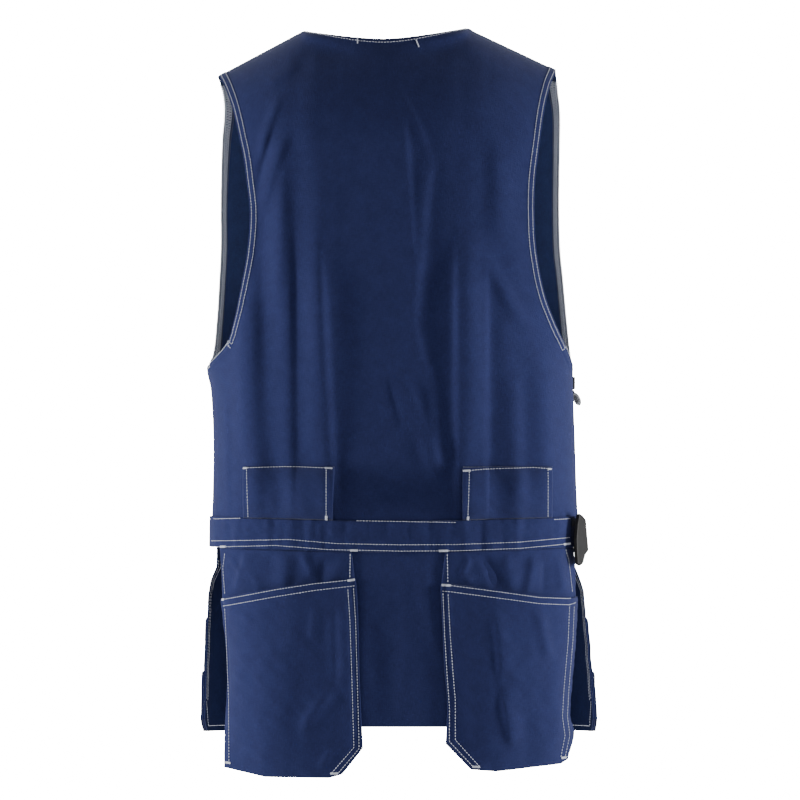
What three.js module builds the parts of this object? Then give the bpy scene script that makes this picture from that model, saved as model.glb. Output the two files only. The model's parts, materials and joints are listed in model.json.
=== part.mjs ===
// Utility work vest, seen as worn: canvas walls round an open body, belt tunnels and holster pockets.
// Millimetres, +Z up. The wearer's back faces -Y. The origin is midway between the two shoulder points
// beside the neck, on the shoulder seams. Left and right are as seen from behind.
import * as THREE from 'three'

// Driving sizes of the body
const bodyDrop = 615
const bodyHalfWidth = 216
const bodyDepthBack = 125
const bodyDepthFront = 130
const sectionPower = 2.5
const neckHalfWidth = 98
const neckDip = 12
const neckDepth = 62
const neckTilt = 1.7
const neckFrontDrop = 235
const shoulderTipLeft = 199.4
const shoulderTipRight = 201.8
const shoulderFallLeft = 54
const shoulderFallRight = 49
const shoulderRoll = 125
const chestDrop = 130
const slowTurnDrop = 345
const slowTurnTall = 145
const tailDrop = 821

// Cloth, tape and the small spaces between layers
const canvas = 1.6
const tape = 1.2
const layerGap = 0.5
const facingGap = 0.8
const seamGap = 0.4
const underBandGap = 0.9
const seamTuck = 4

// Waistband, its strap and its buckle
const bandTopDrop = 574
const bandTall = 36
const bandSag = 5
const strapTall = 34
const strapThick = 1.4
const buckleThick = 5
const buckleTall = 48
const buckleLong = 38
const buckleSlotTall = 40
const buckleSlotWide = 8
const buckleBar = 6
const buckleTabTall = 15
const buckleTabLong = 20
const buckleCorner = 4
const buckleTurn = 0.4
const buckleReachBack = 57
const buckleStandOff = 4
const buckleAboveMiddle = -1.5
const strapPastBuckle = 60
const strapSlant = 0.75
const barClearance = 0.4

// Belt tunnels
const tunnelWide = 104
const tunnelTopDrop = 515
const tunnelStand = 17
const tunnelEase = 0.3
const tunnelLeftAt = -0.523
const tunnelRightAt = 0.662

// Pockets
const backPouchBulge = 20
const holsterBulge = 15
const toolPouchBulge = 11
const holsterDrop = 830
const holsterCornerDrop = 16
const holsterPouchTall = 133
const toolPouchTall = 67
const holsterMouthRise = 16
const holsterShoulderDrop = 665
const holsterShoulderTall = 30
const holsterFlareLeft = 3
const holsterFlareRight = 15

// Edges and fastenings
const facingWide = 11
const frontZipWide = 12
const frontZipThick = 2.2
const zipBelowNeck = 3
const hangerLeft = -32
const hangerRight = 38
const hangerTapeTall = 8
const hangerDroop = 12
const hangerStand = 5
const sideZipTopDrop = 400
const sideZipLong = 150
const sideZipAcross = 14
const sliderTall = 15
const sliderWide = 9
const sliderThick = 3.2
const sliderTopDrop = 409
const pullTall = 17
const pullWide = 9
const pullThick = 2.6
const pullStem = 3
const pullStemWide = 3
const pullTilt = 0.43
const zipFacing = 0.3

// Sections of the body. drop is a share of bodyDrop, the half-widths and the centre are shares of
// bodyHalfWidth, and the depths are shares of bodyDepthBack and bodyDepthFront.
const sections = [
  { drop: -0.02, back: 1.09, front: 0.985, centre: 0.0, backDepth: 0.83, frontDepth: 0.71 },
  { drop: 0.1, back: 1.075, front: 0.965, centre: 0.005, backDepth: 0.9, frontDepth: 0.77 },
  { drop: 0.21, back: 1.03, front: 0.95, centre: 0.023, backDepth: 0.96, frontDepth: 0.86 },
  { drop: 0.34, back: 1.0, front: 0.942, centre: 0.03, backDepth: 1.0, frontDepth: 0.94 },
  { drop: 0.47, back: 1.0, front: 0.955, centre: 0.035, backDepth: 1.008, frontDepth: 1.0 },
  { drop: 0.57, back: 1.0, front: 0.978, centre: 0.037, backDepth: 0.992, frontDepth: 1.015 },
  { drop: 0.647, back: 0.997, front: 0.997, centre: 0.026, backDepth: 0.968, frontDepth: 1.008 },
  { drop: 0.69, back: 0.986, front: 0.986, centre: 0.038, backDepth: 0.952, frontDepth: 1.0 },
  { drop: 0.787, back: 0.984, front: 0.984, centre: 0.05, backDepth: 0.928, frontDepth: 0.985 },
  { drop: 0.885, back: 0.99, front: 0.99, centre: 0.053, backDepth: 0.93, frontDepth: 0.977 },
  { drop: 0.975, back: 1.0, front: 1.0, centre: 0.055, backDepth: 0.952, frontDepth: 0.985 },
  { drop: 1.17, back: 1.005, front: 1.005, centre: 0.055, backDepth: 0.992, frontDepth: 1.0 },
  { drop: 1.45, back: 1.005, front: 1.005, centre: 0.055, backDepth: 1.008, frontDepth: 1.0 }
]

// Armhole edges of the back and of the fronts. drop is a share of bodyDrop, the rest of bodyHalfWidth.
const backArmhole = [
  { drop: 0.083, left: -0.918, right: 0.931 },
  { drop: 0.115, left: -0.875, right: 0.896 },
  { drop: 0.166, left: -0.821, right: 0.861 },
  { drop: 0.236, left: -0.771, right: 0.831 },
  { drop: 0.288, left: -0.75, right: 0.814 },
  { drop: 0.35, left: -0.732, right: 0.809 },
  { drop: 0.423, left: -0.745, right: 0.82 },
  { drop: 0.504, left: -0.784, right: 0.863 },
  { drop: 0.561, left: -0.817, right: 0.921 },
  { drop: 0.605, left: -0.86, right: 0.977 },
  { drop: 0.647, left: -0.971, right: 1.023 }
]
const frontArmhole = [
  { drop: 0.083, left: -0.923, right: 0.934 },
  { drop: 0.117, left: -0.891, right: 0.944 },
  { drop: 0.154, left: -0.878, right: 0.954 },
  { drop: 0.211, left: -0.889, right: 0.954 },
  { drop: 0.325, left: -0.896, right: 0.95 },
  { drop: 0.415, left: -0.896, right: 0.955 },
  { drop: 0.48, left: -0.904, right: 0.972 },
  { drop: 0.561, left: -0.919, right: 0.993 },
  { drop: 0.624, left: -0.94, right: 1.011 },
  { drop: 0.647, left: -0.971, right: 1.023 }
]

// Soft folds of the back. top and bottom are shares of bodyDrop, at and drift are shares of
// bodyHalfWidth, wide too, and high is a share of bodyDepthBack.
const folds = [
  { top: 0.2, bottom: 0.82, at: -0.555, drift: -0.01, wide: 0.062, high: 0.03 },
  { top: 0.18, bottom: 0.82, at: -0.365, drift: 0.0, wide: 0.085, high: 0.04 },
  { top: 0.5, bottom: 0.82, at: -0.785, drift: 0.0, wide: 0.055, high: 0.03 },
  { top: 0.38, bottom: 0.82, at: 0.47, drift: 0.015, wide: 0.07, high: 0.032 },
  { top: 0.18, bottom: 0.82, at: 0.23, drift: 0.0, wide: 0.11, high: -0.024 },
  { top: 0.22, bottom: 0.8, at: -0.665, drift: 0.0, wide: 0.05, high: -0.018 }
]

// Outlines of the back pockets, as seen from behind. Edges run down: drop is a share of tailDrop and
// at of bodyHalfWidth. The mouth and the bottom run across: at is a share of bodyHalfWidth.
const backPockets = {
  left: {
    outer: [
      { drop: 0.745, at: -0.89 },
      { drop: 0.8, at: -0.88 },
      { drop: 0.83, at: -0.873 },
      { drop: 0.888, at: -0.847 },
      { drop: 0.942, at: -0.842 },
      { drop: 1.0, at: -0.855 },
      { drop: 1.058, at: -0.858 }
    ],
    inner: [
      { drop: 0.745, at: -0.18 },
      { drop: 0.793, at: -0.156 },
      { drop: 0.846, at: -0.144 },
      { drop: 0.93, at: -0.137 },
      { drop: 1.029, at: -0.118 },
      { drop: 1.072, at: -0.11 }
    ],
    mouth: [
      { at: -0.9, drop: 0.819 },
      { at: -0.595, drop: 0.803 },
      { at: -0.382, drop: 0.795 },
      { at: -0.15, drop: 0.788 }
    ],
    bottom: [
      { at: -0.88, drop: 1.058 },
      { at: -0.64, drop: 1.072 },
      { at: -0.3, drop: 1.073 },
      { at: -0.232, drop: 1.068 },
      { at: -0.115, drop: 1.029 }
    ]
  },
  right: {
    outer: [
      { drop: 0.745, at: 1.02 },
      { drop: 0.8, at: 1.028 },
      { drop: 0.846, at: 1.028 },
      { drop: 0.898, at: 1.015 },
      { drop: 0.942, at: 1.0 },
      { drop: 0.983, at: 0.99 },
      { drop: 1.012, at: 1.012 },
      { drop: 1.047, at: 0.978 }
    ],
    inner: [
      { drop: 0.745, at: 0.327 },
      { drop: 0.793, at: 0.303 },
      { drop: 0.846, at: 0.312 },
      { drop: 0.91, at: 0.32 },
      { drop: 0.961, at: 0.338 },
      { drop: 1.023, at: 0.328 }
    ],
    mouth: [
      { at: 0.3, drop: 0.796 },
      { at: 0.36, drop: 0.796 },
      { at: 0.644, drop: 0.807 },
      { at: 0.841, drop: 0.814 },
      { at: 1.0, drop: 0.816 },
      { at: 1.05, drop: 0.812 }
    ],
    bottom: [
      { at: 0.325, drop: 1.023 },
      { at: 0.463, drop: 1.061 },
      { at: 0.6, drop: 1.064 },
      { at: 0.94, drop: 1.054 },
      { at: 0.995, drop: 1.045 }
    ]
  }
}

// Helpers
const mix = (a, b, share) => a + (b - a) * share
const clamp = (value, low, high) => Math.min(Math.max(value, low), high)
const steps = (count) => Array.from({ length: count + 1 }, (_, i) => i / count)

function slopeAt(rows, axis, column, i) {
  const before = rows[Math.max(i - 1, 0)]
  const after = rows[Math.min(i + 1, rows.length - 1)]
  return (after[column] - before[column]) / (after[axis] - before[axis])
}

// Reads a column of a table at a place on its axis, along a smooth curve through the rows.
function read(rows, axis, column, at) {
  const place = clamp(at, rows[0][axis], rows[rows.length - 1][axis])
  let i = 0
  while (i < rows.length - 2 && rows[i + 1][axis] < place) i += 1
  const span = rows[i + 1][axis] - rows[i][axis]
  const t = (place - rows[i][axis]) / span
  const t2 = t * t
  const t3 = t2 * t
  const startSlope = slopeAt(rows, axis, column, i) * span
  const endSlope = slopeAt(rows, axis, column, i + 1) * span
  return (
    (2 * t3 - 3 * t2 + 1) * rows[i][column] +
    (t3 - 2 * t2 + t) * startSlope +
    (3 * t2 - 2 * t3) * rows[i + 1][column] +
    (t3 - t2) * endSlope
  )
}

// Reads a column along straight lines between the rows, for outlines with corners.
function readStraight(rows, axis, column, at) {
  const place = clamp(at, rows[0][axis], rows[rows.length - 1][axis])
  let i = 0
  while (i < rows.length - 2 && rows[i + 1][axis] < place) i += 1
  const t = (place - rows[i][axis]) / (rows[i + 1][axis] - rows[i][axis])
  return mix(rows[i][column], rows[i + 1][column], t)
}

// The body surface
const section = (z, column) => read(sections, 'drop', column, -z / bodyDrop)
const centreAt = (z) => section(z, 'centre') * bodyHalfWidth
const halfAt = (z, face) => section(z, face) * bodyHalfWidth

function neckEdge(x) {
  const share = clamp(x / neckHalfWidth, -1, 1)
  return -neckDip * (1 - Math.abs(share) ** 1.6) + neckTilt * share
}

function shoulderLine(x) {
  const left = x < 0
  const tip = left ? shoulderTipLeft : shoulderTipRight
  const fall = left ? shoulderFallLeft : shoulderFallRight
  const start = left ? -neckTilt : neckTilt
  return start - (fall * (Math.abs(x) - neckHalfWidth)) / (tip - neckHalfWidth)
}

const topEdge = (x) => (Math.abs(x) < neckHalfWidth ? neckEdge(x) : shoulderLine(x))

function foldRelief(x, z) {
  const drop = -z / bodyDrop
  let sum = 0
  for (const fold of folds) {
    const along = clamp((drop - fold.top) / (fold.bottom - fold.top), 0, 1)
    const fade = Math.sin(Math.PI * along) ** 0.6
    const from = (x / bodyHalfWidth - fold.at - fold.drift * along) / fold.wide
    sum += fold.high * bodyDepthBack * fade * Math.exp(-from * from)
  }
  return sum
}

const roundness = (x, z, face) => {
  const share = clamp((x - centreAt(z)) / halfAt(z, face), -1, 1)
  return (1 - Math.abs(share) ** sectionPower) ** (1 / sectionPower)
}

function backPoint(x, z) {
  const full = section(z, 'backDepth') * bodyDepthBack * roundness(x, z, 'back')
  const neckShare = clamp(Math.abs(x) / neckHalfWidth, 0, 1)
  const edgeDepth = neckDepth * Math.sqrt(1 - neckShare * neckShare)
  const under = clamp((topEdge(x) - z) / shoulderRoll, 0, 1)
  const ease = (1 - (1 - under) ** 2) ** (0.5 + 0.4 * (1 - neckShare ** 2))
  const depth = mix(edgeDepth, full, ease)
  return new THREE.Vector3(x, -seamGap / 2 - depth - foldRelief(x, z) * ease, z)
}

function frontPoint(x, z) {
  const full = section(z, 'frontDepth') * bodyDepthFront * roundness(x, z, 'front')
  const under = clamp((shoulderLine(x) - z) / shoulderRoll, 0, 1)
  const ease = Math.sqrt(1 - (1 - under) ** 2)
  return new THREE.Vector3(x, seamGap / 2 + full * ease, z)
}

// Turns a place across the section (an angle from the middle) into x at a height.
const xAtAngle = (angle, z, face) => centreAt(z) + halfAt(z, face) * Math.sin(angle)

function angleAt(x, z, face) {
  return Math.asin(clamp((x - centreAt(z)) / halfAt(z, face), -1, 1))
}

// A closed wall over a grid of points. lift is how far the wall's inner face stands off the surface,
// along the normal, and push how far it is then moved straight back. flatten names the part of the
// normal, x or y, that is left out where a seam face must be plane.
function wall({ columns, rows, point, lift = () => 0, push = () => 0, thick = canvas, flatten = () => '' }) {
  const across = columns.length
  const up = rows.length
  const grid = rows.map((v) => columns.map((u) => point(u, v)))
  const normal = (r, c) => {
    const left = grid[r][Math.max(c - 1, 0)]
    const right = grid[r][Math.min(c + 1, across - 1)]
    const low = grid[Math.max(r - 1, 0)][c]
    const high = grid[Math.min(r + 1, up - 1)][c]
    const n = right.clone().sub(left).cross(high.clone().sub(low))
    const here = grid[r][c]
    const outward = new THREE.Vector3(here.x - centreAt(here.z), here.y, bodyHalfWidth / 10)
    if (n.dot(outward) < 0) n.negate()
    const flat = flatten(columns[c], rows[r], here)
    if (flat) n[flat] = 0
    return n.normalize()
  }
  const inner = []
  const outer = []
  for (let r = 0; r < up; r += 1) {
    for (let c = 0; c < across; c += 1) {
      const n = normal(r, c)
      const stand = lift(columns[c], rows[r], grid[r][c])
      const from = grid[r][c].clone()
      from.y -= push(columns[c], rows[r])
      inner.push(from.clone().addScaledVector(n, stand))
      outer.push(from.addScaledVector(n, stand + thick))
    }
  }
  const points = [...inner, ...outer]
  const faces = []
  const quad = (a, b, c, d) => faces.push(a, b, c, a, c, d)
  const shift = inner.length
  for (let r = 0; r < up - 1; r += 1) {
    for (let c = 0; c < across - 1; c += 1) {
      const a = r * across + c
      const b = a + 1
      const d = a + across
      const e = d + 1
      quad(a, d, e, b)
      quad(a + shift, b + shift, e + shift, d + shift)
    }
  }
  const rim = (a, b) => quad(a, b, b + shift, a + shift)
  for (let c = 0; c < across - 1; c += 1) {
    rim(c, c + 1)
    rim((up - 1) * across + c + 1, (up - 1) * across + c)
  }
  for (let r = 0; r < up - 1; r += 1) {
    rim((r + 1) * across, r * across)
    rim(r * across + across - 1, (r + 1) * across + across - 1)
  }
  return solid(points, faces)
}

function solid(points, faces) {
  let volume = 0
  for (let i = 0; i < faces.length; i += 3) {
    const [a, b, c] = [points[faces[i]], points[faces[i + 1]], points[faces[i + 2]]]
    volume += a.dot(b.clone().cross(c))
  }
  if (volume < 0) faces.reverse()
  const geometry = new THREE.BufferGeometry().setFromPoints(points)
  geometry.setIndex(faces)
  return geometry
}

// Finishes
const finish = (color, roughness, metalness = 0) =>
  new THREE.MeshStandardMaterial({ color, roughness, metalness })
const navyCanvas = finish('#22305e', 0.85)
const navyDark = finish('#1b264a', 0.9)
const bindingGrey = finish('#8d95b5', 0.8)
const blackPlastic = finish('#222224', 0.45)
const zipMetal = finish('#2a2c30', 0.4, 0.6)
const blackWebbing = finish('#1c2338', 0.8)

const vest = new THREE.Group()
function add(name, geometry, material) {
  const mesh = new THREE.Mesh(geometry, material)
  mesh.name = name
  vest.add(mesh)
  return mesh
}

// Back panel
const panelBottom = -(bandTopDrop + bandTall - seamTuck)
const chest = -chestDrop
const underarm = -backArmhole[backArmhole.length - 1].drop * bodyDrop

function armholeAngle(table, side, z, face) {
  if (z <= underarm) return side === 'left' ? -Math.PI / 2 : Math.PI / 2
  const x = read(table, 'drop', side, -z / bodyDrop) * bodyHalfWidth
  return angleAt(x, z, face)
}

// Inside the panel the columns turn outwards slowly past the underarm, so that only the outermost ones
// follow the edge where it runs in quickly.
function easedAngle(table, side, z, face) {
  const start = -slowTurnDrop
  if (z >= start) return armholeAngle(table, side, z, face)
  const share = clamp((start - z) / slowTurnTall, 0, 1)
  const full = side === 'left' ? -Math.PI / 2 : Math.PI / 2
  return mix(armholeAngle(table, side, start, face), full, share * share * (3 - 2 * share))
}

// share of the panel's width in which the columns are drawn to the edge
const edgeZone = 0.2

function edgePull(u, table, side, z, face) {
  const share = Math.max(0, 1 - u / edgeZone) ** 2
  return (armholeAngle(table, side, z, face) - easedAngle(table, side, z, face)) * share
}

function backRow(u, z) {
  const left = easedAngle(backArmhole, 'left', z, 'back')
  const right = easedAngle(backArmhole, 'right', z, 'back')
  const pull = edgePull(u, backArmhole, 'left', z, 'back') + edgePull(1 - u, backArmhole, 'right', z, 'back')
  return xAtAngle(mix(left, right, u) + pull, z, 'back')
}

function topAcross(u) {
  if (u < 0.25) return mix(-shoulderTipLeft, -neckHalfWidth, u / 0.25)
  if (u > 0.75) return mix(neckHalfWidth, shoulderTipRight, (u - 0.75) / 0.25)
  return mix(-neckHalfWidth, neckHalfWidth, (u - 0.25) / 0.5)
}

// v runs from 0 at the panel's bottom to 1 at the chest line and on to 2 at its top edge.
function backPanelPoint(u, v) {
  if (v <= 1) {
    const z = mix(panelBottom, chest, v)
    return backPoint(backRow(u, z), z)
  }
  const share = v - 1
  const leftZ = mix(chest, topEdge(-shoulderTipLeft), share)
  const rightZ = mix(chest, topEdge(shoulderTipRight), share)
  const leftPull = backRow(0, leftZ) - mix(backRow(0, chest), -shoulderTipLeft, share)
  const rightPull = backRow(1, rightZ) - mix(backRow(1, chest), shoulderTipRight, share)
  const x = mix(backRow(u, chest), topAcross(u), share) + leftPull * (1 - u) + rightPull * u
  return backPoint(x, mix(chest, topEdge(x), share))
}

const lowerRows = [0, 0.07, 0.14, 0.21, 0.28, 0.35, 0.4, 0.437, 0.448, 0.465, 0.5, 0.57]
const panelRows = [...lowerRows, 0.65, 0.74, 0.83, 0.92, 1, 1.25, 1.5, 1.7, 1.86, 1.95, 2]
// Columns lie closer together at the sides, where the section turns, and over the folds.
const halfColumns = [0, 0.02, 0.05, 0.085, 0.12, 0.155, 0.19, 0.22, 0.25, 0.275, 0.3, 0.325, 0.35, 0.375,
  0.4, 0.43, 0.465]
const panelColumns = [...halfColumns, 0.5, ...halfColumns.map((u) => 1 - u).reverse()]
add('back_panel', wall({
  columns: panelColumns,
  rows: panelRows,
  point: backPanelPoint,
  flatten: (u, v, here) => (v === 2 && Math.abs(here.x) >= neckHalfWidth ? 'y'
    : (u === 0 || u === 1) && here.z < underarm + 1 ? 'y' : '')
}), navyCanvas)

// Front panels, with the V neck and the front armholes
const frontGap = frontZipWide / 2 + seamGap

function frontInner(side, z) {
  const low = centreAt(z) + side * frontGap
  if (z <= -neckFrontDrop) return low
  return mix(low, side * neckHalfWidth, (z + neckFrontDrop) / neckFrontDrop)
}

function frontRow(side, u, z) {
  const name = side < 0 ? 'left' : 'right'
  const outer = easedAngle(frontArmhole, name, z, 'front')
  const inner = angleAt(frontInner(side, z), z, 'front')
  return xAtAngle(mix(outer, inner, u) + edgePull(u, frontArmhole, name, z, 'front'), z, 'front')
}

function frontPanelPoint(side, u, v) {
  if (v <= 1) {
    const z = mix(panelBottom, chest, v)
    return frontPoint(frontRow(side, u, z), z)
  }
  const tip = side < 0 ? -shoulderTipLeft : shoulderTipRight
  const share = v - 1
  const topX = (s) => mix(tip, side * neckHalfWidth, s)
  const outerZ = mix(chest, shoulderLine(tip), share)
  const innerZ = mix(chest, shoulderLine(topX(1)), share)
  const outerPull = frontRow(side, 0, outerZ) - mix(frontRow(side, 0, chest), tip, share)
  const innerPull = frontInner(side, innerZ) - mix(frontInner(side, chest), topX(1), share)
  const x = mix(frontRow(side, u, chest), topX(u), share) + outerPull * (1 - u) + innerPull * u
  return frontPoint(x, mix(chest, shoulderLine(x), share))
}

const frontFlat = (u, v, here) => {
  if (v === 2) return 'y'
  if (u === 0 && here.z < underarm + 1) return 'y'
  return u === 1 && here.z < -neckFrontDrop + 1 ? 'x' : ''
}
const sides = [{ name: 'left', side: -1 }, { name: 'right', side: 1 }]
const frontColumns = [0, 0.03, 0.06, 0.12, 0.2, 0.3, 0.42, 0.56, 0.7, 0.85, 1]
for (const { name, side } of sides) {
  add(`front_panel_${name}`, wall({
    columns: frontColumns,
    rows: panelRows,
    point: (u, v) => frontPanelPoint(side, u, v),
    flatten: frontFlat
  }), navyCanvas)
}

// Facings turned in along the front armholes, on the inside of the fronts
const facingRows = panelRows.filter((v) => v >= 0.44 && v <= 1.88)
for (const { name, side } of sides) {
  add(`armhole_facing_${name}`, wall({
    columns: steps(2),
    rows: facingRows,
    point: (u, v) => {
      const near = frontColumns[2]
      const edge = frontPanelPoint(side, 0, v)
      const inward = frontPanelPoint(side, near, v)
      return frontPanelPoint(side, (near * u * facingWide) / edge.distanceTo(inward), v)
    },
    lift: () => -facingGap - tape,
    thick: tape
  }), bindingGrey)
}

// Centre front closure
const zipTop = -neckFrontDrop - zipBelowNeck
const zipRows = [
  ...panelRows.map((v) => mix(panelBottom, chest, v)).filter((z) => z < zipTop - frontZipWide / 2),
  zipTop
]
add('front_zip', wall({
  columns: [-1, 0, 1],
  rows: zipRows,
  point: (u, z) => frontPoint(centreAt(z) + (u * frontZipWide) / 2, z),
  thick: frontZipThick,
  flatten: (u) => (u === 0 ? '' : 'x')
}), zipMetal)

// Hanger loop inside the back of the neck
add('hanger_loop', wall({
  columns: steps(8),
  rows: [0, 1],
  point: (u, v) => {
    const x = mix(hangerLeft, hangerRight, u)
    const droop = hangerDroop * Math.sin(Math.PI * u)
    return backPoint(x, neckEdge(x) - canvas - droop - hangerTapeTall * (1 - v))
  },
  lift: (u) => -layerGap - tape - hangerStand * Math.sin(Math.PI * u),
  thick: tape
}), navyDark)

// Waistband: a sewn channel over the joined panels
const bandLift = canvas + layerGap
const bandDip = (x) => bandSag * (1 - ((x - centreAt(-bandTopDrop)) / bodyHalfWidth) ** 2)
const bandZ = (x, v) => -bandTopDrop - bandDip(x) - bandTall * (1 - v)

add('waistband_back', wall({
  columns: steps(28),
  rows: steps(2),
  point: (u, v) => {
    const x = xAtAngle(mix(-Math.PI / 2, Math.PI / 2, u), -bandTopDrop - bandTall / 2, 'back')
    const z = bandZ(x, v)
    return backPoint(backRow(u, z), z)
  },
  lift: () => bandLift,
  flatten: (u) => (u === 0 || u === 1 ? 'y' : '')
}), navyCanvas)

// The right front part starts where the strap ends.
const strapEnd = strapPastBuckle
const bandAt = -bandTopDrop - bandTall / 2
const strapEndAngle = () => {
  const depth = section(bandAt, 'frontDepth') * bodyDepthFront
  const share = (1 - (strapEnd / depth) ** sectionPower) ** (1 / sectionPower)
  return Math.asin(share)
}
const frontBandEnds = { left: -Math.PI / 2, right: strapEndAngle() }
for (const { name, side } of sides) {
  add(`waistband_front_${name}`, wall({
    columns: steps(14),
    rows: steps(2),
    point: (u, v) => {
      const start = frontBandEnds[name]
      const end = angleAt(centreAt(bandAt) + side * seamGap, bandAt, 'front')
      const angle = mix(start, end, u)
      const z = bandZ(xAtAngle(angle, bandAt, 'front'), v)
      return frontPoint(xAtAngle(angle, z, 'front'), z)
    },
    lift: () => layerGap + frontZipThick,
    flatten: (u) => (u === 1 ? 'x' : u === 0 && name === 'left' ? 'y' : '')
  }), navyCanvas)
}

// Belt tunnels: wide cloth loops that stand off the back above the waistband, open at both sides
// They stand off straight back, and most towards the middle of the back.
const tunnels = [
  { name: 'left', at: tunnelLeftAt, outward: (u) => 1 - u },
  { name: 'right', at: tunnelRightAt, outward: (u) => u }
]
for (const { name, at, outward } of tunnels) {
  add(`belt_tunnel_${name}`, wall({
    columns: steps(7),
    rows: [0, 0.06, 0.15, 0.3, 0.5, 0.7, 0.85, 0.94, 1],
    point: (u, v) => {
      const x = at * bodyHalfWidth + (u - 0.5) * tunnelWide
      return backPoint(x, mix(bandZ(x, 1) + seamGap, -tunnelTopDrop, v))
    },
    lift: () => bandLift,
    push: (u, v) => tunnelStand * (1 - tunnelEase * outward(u)) * Math.sin(Math.PI * v) ** 0.8
  }), navyCanvas)
}

// Tail: the back skirt under the waistband
const tailAngle = 0.92
add('tail_panel', wall({
  columns: steps(16),
  rows: steps(5),
  point: (u, v) => {
    const z = mix(-tailDrop, panelBottom - seamGap, v)
    return backPoint(xAtAngle(mix(-tailAngle, tailAngle, u), z, 'back'), z)
  }
}), navyDark)

// Back holster pockets
const pocketTop = (x) => bandZ(x, 0) - seamGap
// The pockets end short of the side seam, and swell from a flat margin at each edge and at the foot.
const nearSeam = 0.985
const swellMargin = 0.03
const swellTall = 0.35
const edgeShare = (u) => Math.sin(Math.PI * clamp(u, 0, 1)) ** 0.7
const pastMargin = (u) => (u - swellMargin) / (1 - 2 * swellMargin)
const swellUp = (v) => Math.sin((Math.min(1, v / swellTall) * Math.PI) / 2)

for (const { name } of sides) {
  const outline = backPockets[name]
  const edgeX = (table, z) => read(table, 'drop', 'at', -z / tailDrop) * bodyHalfWidth
  const lowZ = (x) => -readStraight(outline.bottom, 'at', 'drop', x / bodyHalfWidth) * tailDrop
  const mouthZ = (x) => -read(outline.mouth, 'at', 'drop', x / bodyHalfWidth) * tailDrop
  const across = (u, z, inset) => {
    const ends = [edgeX(outline.outer, z), edgeX(outline.inner, z)].sort((a, b) => a - b)
    const far = centreAt(z) + halfAt(z, 'back') * nearSeam
    const angles = ends.map((x) => angleAt(Math.min(x, far), z, 'back'))
    const margin = inset / bodyHalfWidth
    return xAtAngle(mix(angles[0] + margin, angles[1] - margin, u), z, 'back')
  }
  const placed = (u, v, top, inset) => {
    let z = -tailDrop * 0.9
    for (let i = 0; i < 6; i += 1) {
      const x = across(u, z, inset)
      z = mix(lowZ(x) + inset, top(x), v)
    }
    return backPoint(across(u, z, inset), z)
  }
  const chamfer = name === 'left' ? [0.8, 0.87, 0.94] : [0.06, 0.13, 0.2]
  const columnsOf = (count) => [...new Set([...steps(count), ...chamfer])].sort((a, b) => a - b)
  const backingLift = canvas + layerGap
  const pouchLift = backingLift + canvas + layerGap
  add(`back_pocket_backing_${name}`, wall({
    columns: columnsOf(11),
    rows: steps(6),
    point: (u, v) => placed(u, v, pocketTop, 1),
    lift: () => backingLift
  }), navyDark)
  add(`back_pouch_${name}`, wall({
    columns: [0, 0.03, 0.07, ...columnsOf(8).filter((u) => u > 0.08 && u < 0.92), 0.94, 0.97, 1],
    rows: [0, 0.03, 0.08, 0.17, 0.3, 0.5, 0.75, 1],
    point: (u, v) => placed(u, v, mouthZ, 0),
    lift: (u, v) => pouchLift + backPouchBulge * edgeShare(pastMargin(u)) * swellUp(v)
  }), navyCanvas)
}

// Front holster pockets: a backing and two pouches, each on the one before, flared at the foot
const holsterOuter = 1.5
const holsterInner = 0.55
const holsterShoulder = 0.2
const holsters = [
  { name: 'left', side: -1, flare: holsterFlareLeft },
  { name: 'right', side: 1, flare: holsterFlareRight }
]
for (const { name, side, flare } of holsters) {
  const columns = [0, 0.04, 0.12, 0.24, 0.4, 0.56, 0.72, 0.88, 0.96, 1]
  const foot = (u) => -holsterDrop + holsterCornerDrop * Math.max(0, 1 - Math.min(u, 1 - u) / 0.12)
  const at = (u, v, top) => {
    const straight = side * mix(holsterOuter, holsterInner, u)
    const z = mix(foot(u), top(straight, u), v)
    const narrowed = clamp((z + holsterShoulderDrop) / holsterShoulderTall, 0, 1)
    const angle = side * mix(holsterOuter - holsterShoulder * narrowed, holsterInner, u)
    return frontPoint(xAtAngle(angle, z, 'front'), z)
  }
  const flareAt = (z) => flare * clamp((-z - bandTopDrop - bandTall) / (holsterDrop - bandTopDrop), 0, 1)
  const bandFoot = (angle) => bandZ(xAtAngle(angle, bandAt, 'front'), 0) - underBandGap
  // The pouches stand out most towards the front, away from the side.
  const forward = (u) => clamp(pastMargin(u), 0, 1) ** 1.6
  const swell = (u, v) => edgeShare(forward(u)) * swellUp(v)
  const first = canvas + layerGap
  const second = first + canvas + layerGap
  const third = second + canvas + layerGap
  const upperMouth = (angle, u) => -holsterDrop + holsterPouchTall + holsterMouthRise * u
  const lowerMouth = (angle, u) => -holsterDrop + toolPouchTall + holsterMouthRise * u
  const heightShare = (z, u) => (z - foot(u)) / (upperMouth(0, u) - foot(u))
  add(`front_holster_backing_${name}`, wall({
    columns,
    rows: [0, 0.15, 0.35, 0.55, 0.75, 0.84, 0.9, 1],
    point: (u, v) => at(u, v, bandFoot),
    lift: (u, v, here) => first + flareAt(here.z)
  }), navyDark)
  add(`front_holster_pouch_${name}`, wall({
    columns,
    rows: [0, 0.06, 0.2, 0.4, 0.7, 1],
    point: (u, v) => at(u, v, upperMouth),
    lift: (u, v, here) => second + flareAt(here.z) + holsterBulge * swell(u, v)
  }), navyCanvas)
  add(`front_holster_tool_pouch_${name}`, wall({
    columns,
    rows: [0, 0.1, 0.35, 0.7, 1],
    point: (u, v) => at(u, v, lowerMouth),
    lift: (u, v, here) => third + flareAt(here.z)
      + holsterBulge * swell(u, heightShare(here.z, u)) + toolPouchBulge * swell(u, v * 0.5)
  }), navyCanvas)
}

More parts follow.
